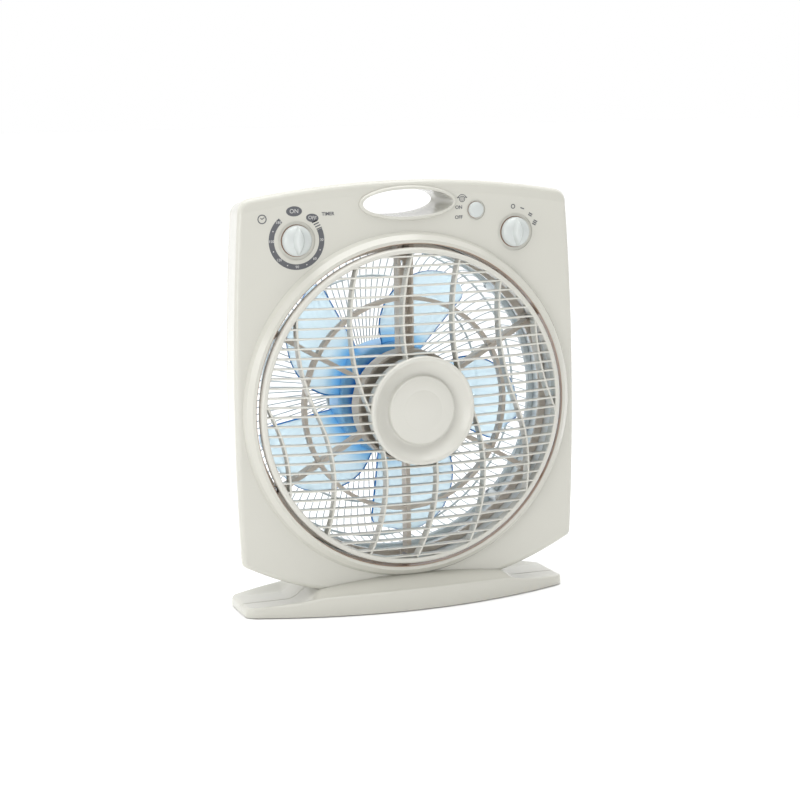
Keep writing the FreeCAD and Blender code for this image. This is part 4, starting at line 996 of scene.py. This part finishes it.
def swing_print(shape, centre):
    """Turning-louvre symbol and the two positions of the swing button."""
    symbol = tilted(centre, -15.0, 11.4, 0)
    arc_band(shape, symbol, 1.0, 1.6)
    arc_band(shape, symbol, 2.4, 3.2)
    arc_band(shape, symbol, 4.2, 4.9, -62, 62)
    for side in (-1, 1):
        bar(shape, tilted(symbol, side * 4.3, 1.7, 0), 1.2, 0.6, side * -20)
    lettering(shape, "ON", tilted(centre, -18.8, 3.0, 0), 3.5)
    lettering(shape, "OFF", tilted(centre, -18.9, -7.1, 0), 3.5)


def face_print(materials):
    """All the print on the case's face, in one piece with a grey and a white part."""
    shape = Shape()
    timer_print(shape, face_centre("timer_knob"), FACE_Y - PRINT_THICKNESS)
    speed_print(shape, face_centre("speed_knob"))
    swing_print(shape, face_centre("swing_button"))
    piece("face_print", shape, "case", [materials["print_grey"], materials["print_white"]])


# ---------------------------------------------------------------- stage

VIEW_TURN = (-20.34, 9.14, -0.84)
VIEW_DISTANCE = 1917.6
VIEW_SHIFT = (-14.17, 6.99)
LENS = 84.77


def camera():
    """Long lens from the left of the fan and a little above its axis."""
    azimuth, elevation, roll = (math.radians(angle) for angle in VIEW_TURN)
    back = Vector((math.sin(azimuth) * math.cos(elevation), -math.cos(azimuth) * math.cos(elevation),
                   math.sin(elevation)))
    level = Vector((0, 0, 1)).cross(back).normalized()
    upright = back.cross(level)
    right = level * math.cos(roll) + upright * math.sin(roll)
    up = upright * math.cos(roll) - level * math.sin(roll)
    place = (Vector((0, COLLAR_Y, AXIS_Z)) + back * VIEW_DISTANCE + right * VIEW_SHIFT[0]
             + up * VIEW_SHIFT[1]) * MM
    data = bpy.data.cameras.new("camera")
    data.lens = LENS
    data.sensor_width = 36.0
    data.clip_end = 50.0
    item = bpy.data.objects.new("camera", data)
    bpy.context.scene.collection.objects.link(item)
    item.matrix_world = Matrix.Translation(place) @ Matrix((right, up, back)).transposed().to_4x4()
    bpy.context.scene.camera = item


def area_light(name, place, target, size, power):
    """A rectangular lamp in metres and watts, turned towards its target."""
    data = bpy.data.lights.new(name, "AREA")
    data.shape = "RECTANGLE"
    data.size, data.size_y = size
    data.energy = power
    item = bpy.data.objects.new(name, data)
    bpy.context.scene.collection.objects.link(item)
    place, target = Vector(place), Vector(target)
    facing = (place - target).to_track_quat("Z", "Y").to_matrix().to_4x4()
    item.matrix_world = Matrix.Translation(place) @ facing


def floor():
    """Plain pale floor, far wider than the picture."""
    mesh = bpy.data.meshes.new("floor")
    reach = 30.0
    mesh.from_pydata([(-reach, -reach, 0), (reach, -reach, 0), (reach, reach, 0), (-reach, reach, 0)], [],
                     [(0, 1, 2, 3)])
    material, nodes, links, shader = new_material("pale_floor")
    slow = noise(nodes, links, 1.5, 2.0)
    links.new(blended(nodes, links, slow, linear(250, 250, 250), linear(254, 254, 254)),
              shader.inputs["Base Color"])
    shader.inputs["Roughness"].default_value = 0.9
    mesh.materials.append(material)
    item = bpy.data.objects.new("floor", mesh)
    bpy.context.scene.collection.objects.link(item)


def studio():
    """White backdrop and ceiling, a dimmer room behind the camera, and broad soft lights.

    Each span of the sky is an axis, where the change along it starts and ends, and the two strengths.
    """
    world = bpy.data.worlds.new("studio")
    world.use_nodes = True
    nodes, links = world.node_tree.nodes, world.node_tree.links
    background = nodes["Background"]
    place = nodes.new("ShaderNodeTexCoord")
    parts = nodes.new("ShaderNodeSeparateXYZ")
    links.new(place.outputs["Generated"], parts.inputs[0])
    spans = (("Y", -0.6, 0.1, 0.42, 1.0), ("Z", 0.1, 0.8, 1.0, 1.6))
    shares = []
    for axis, low, high, first, last in spans:
        share = nodes.new("ShaderNodeMapRange")
        share.interpolation_type = "SMOOTHSTEP"
        for socket, number in (("From Min", low), ("From Max", high), ("To Min", first), ("To Max", last)):
            share.inputs[socket].default_value = number
        links.new(parts.outputs[axis], share.inputs["Value"])
        shares.append(share.outputs["Result"])
    strength = nodes.new("ShaderNodeMath")
    strength.operation = "MULTIPLY"
    links.new(shares[0], strength.inputs[0])
    links.new(shares[1], strength.inputs[1])
    links.new(strength.outputs[0], background.inputs["Strength"])
    background.inputs["Color"].default_value = (1.0, 1.0, 1.0, 1.0)
    bpy.context.scene.world = world
    bpy.context.scene.view_settings.view_transform = "Standard"
    area_light("key", (-0.3, -1.5, 1.9), (0, 0, 0.25), (1.6, 1.2), 7.0)
    area_light("fill", (-1.9, -1.2, 0.6), (0, 0, 0.2), (0.8, 1.2), 10.0)
    area_light("top", (0, -0.3, 2.4), (0, 0, 0.1), (1.8, 1.2), 20.0)


# ---------------------------------------------------------------- the whole scene

def main():
    camera()
    floor()
    studio()
    materials = make_materials()
    dress_frame(materials)
    louvre(materials)
    hub_cap(materials)
    impeller(materials)
    guard(materials)
    base(-1, "base_front", materials)
    base(1, "base_rear", materials)
    dial("timer_knob", materials)
    dial("speed_knob", materials)
    face_print(materials)
    # a dark ring of painted shade in the gap round the swing button
    button_centre = (BUTTON_X, face_centre("swing_button")[1])
    gap_ring("button_gap", button_centre, *BUTTON_GAP, BUTTON_GAP_DEPTH, 64, materials)


main()
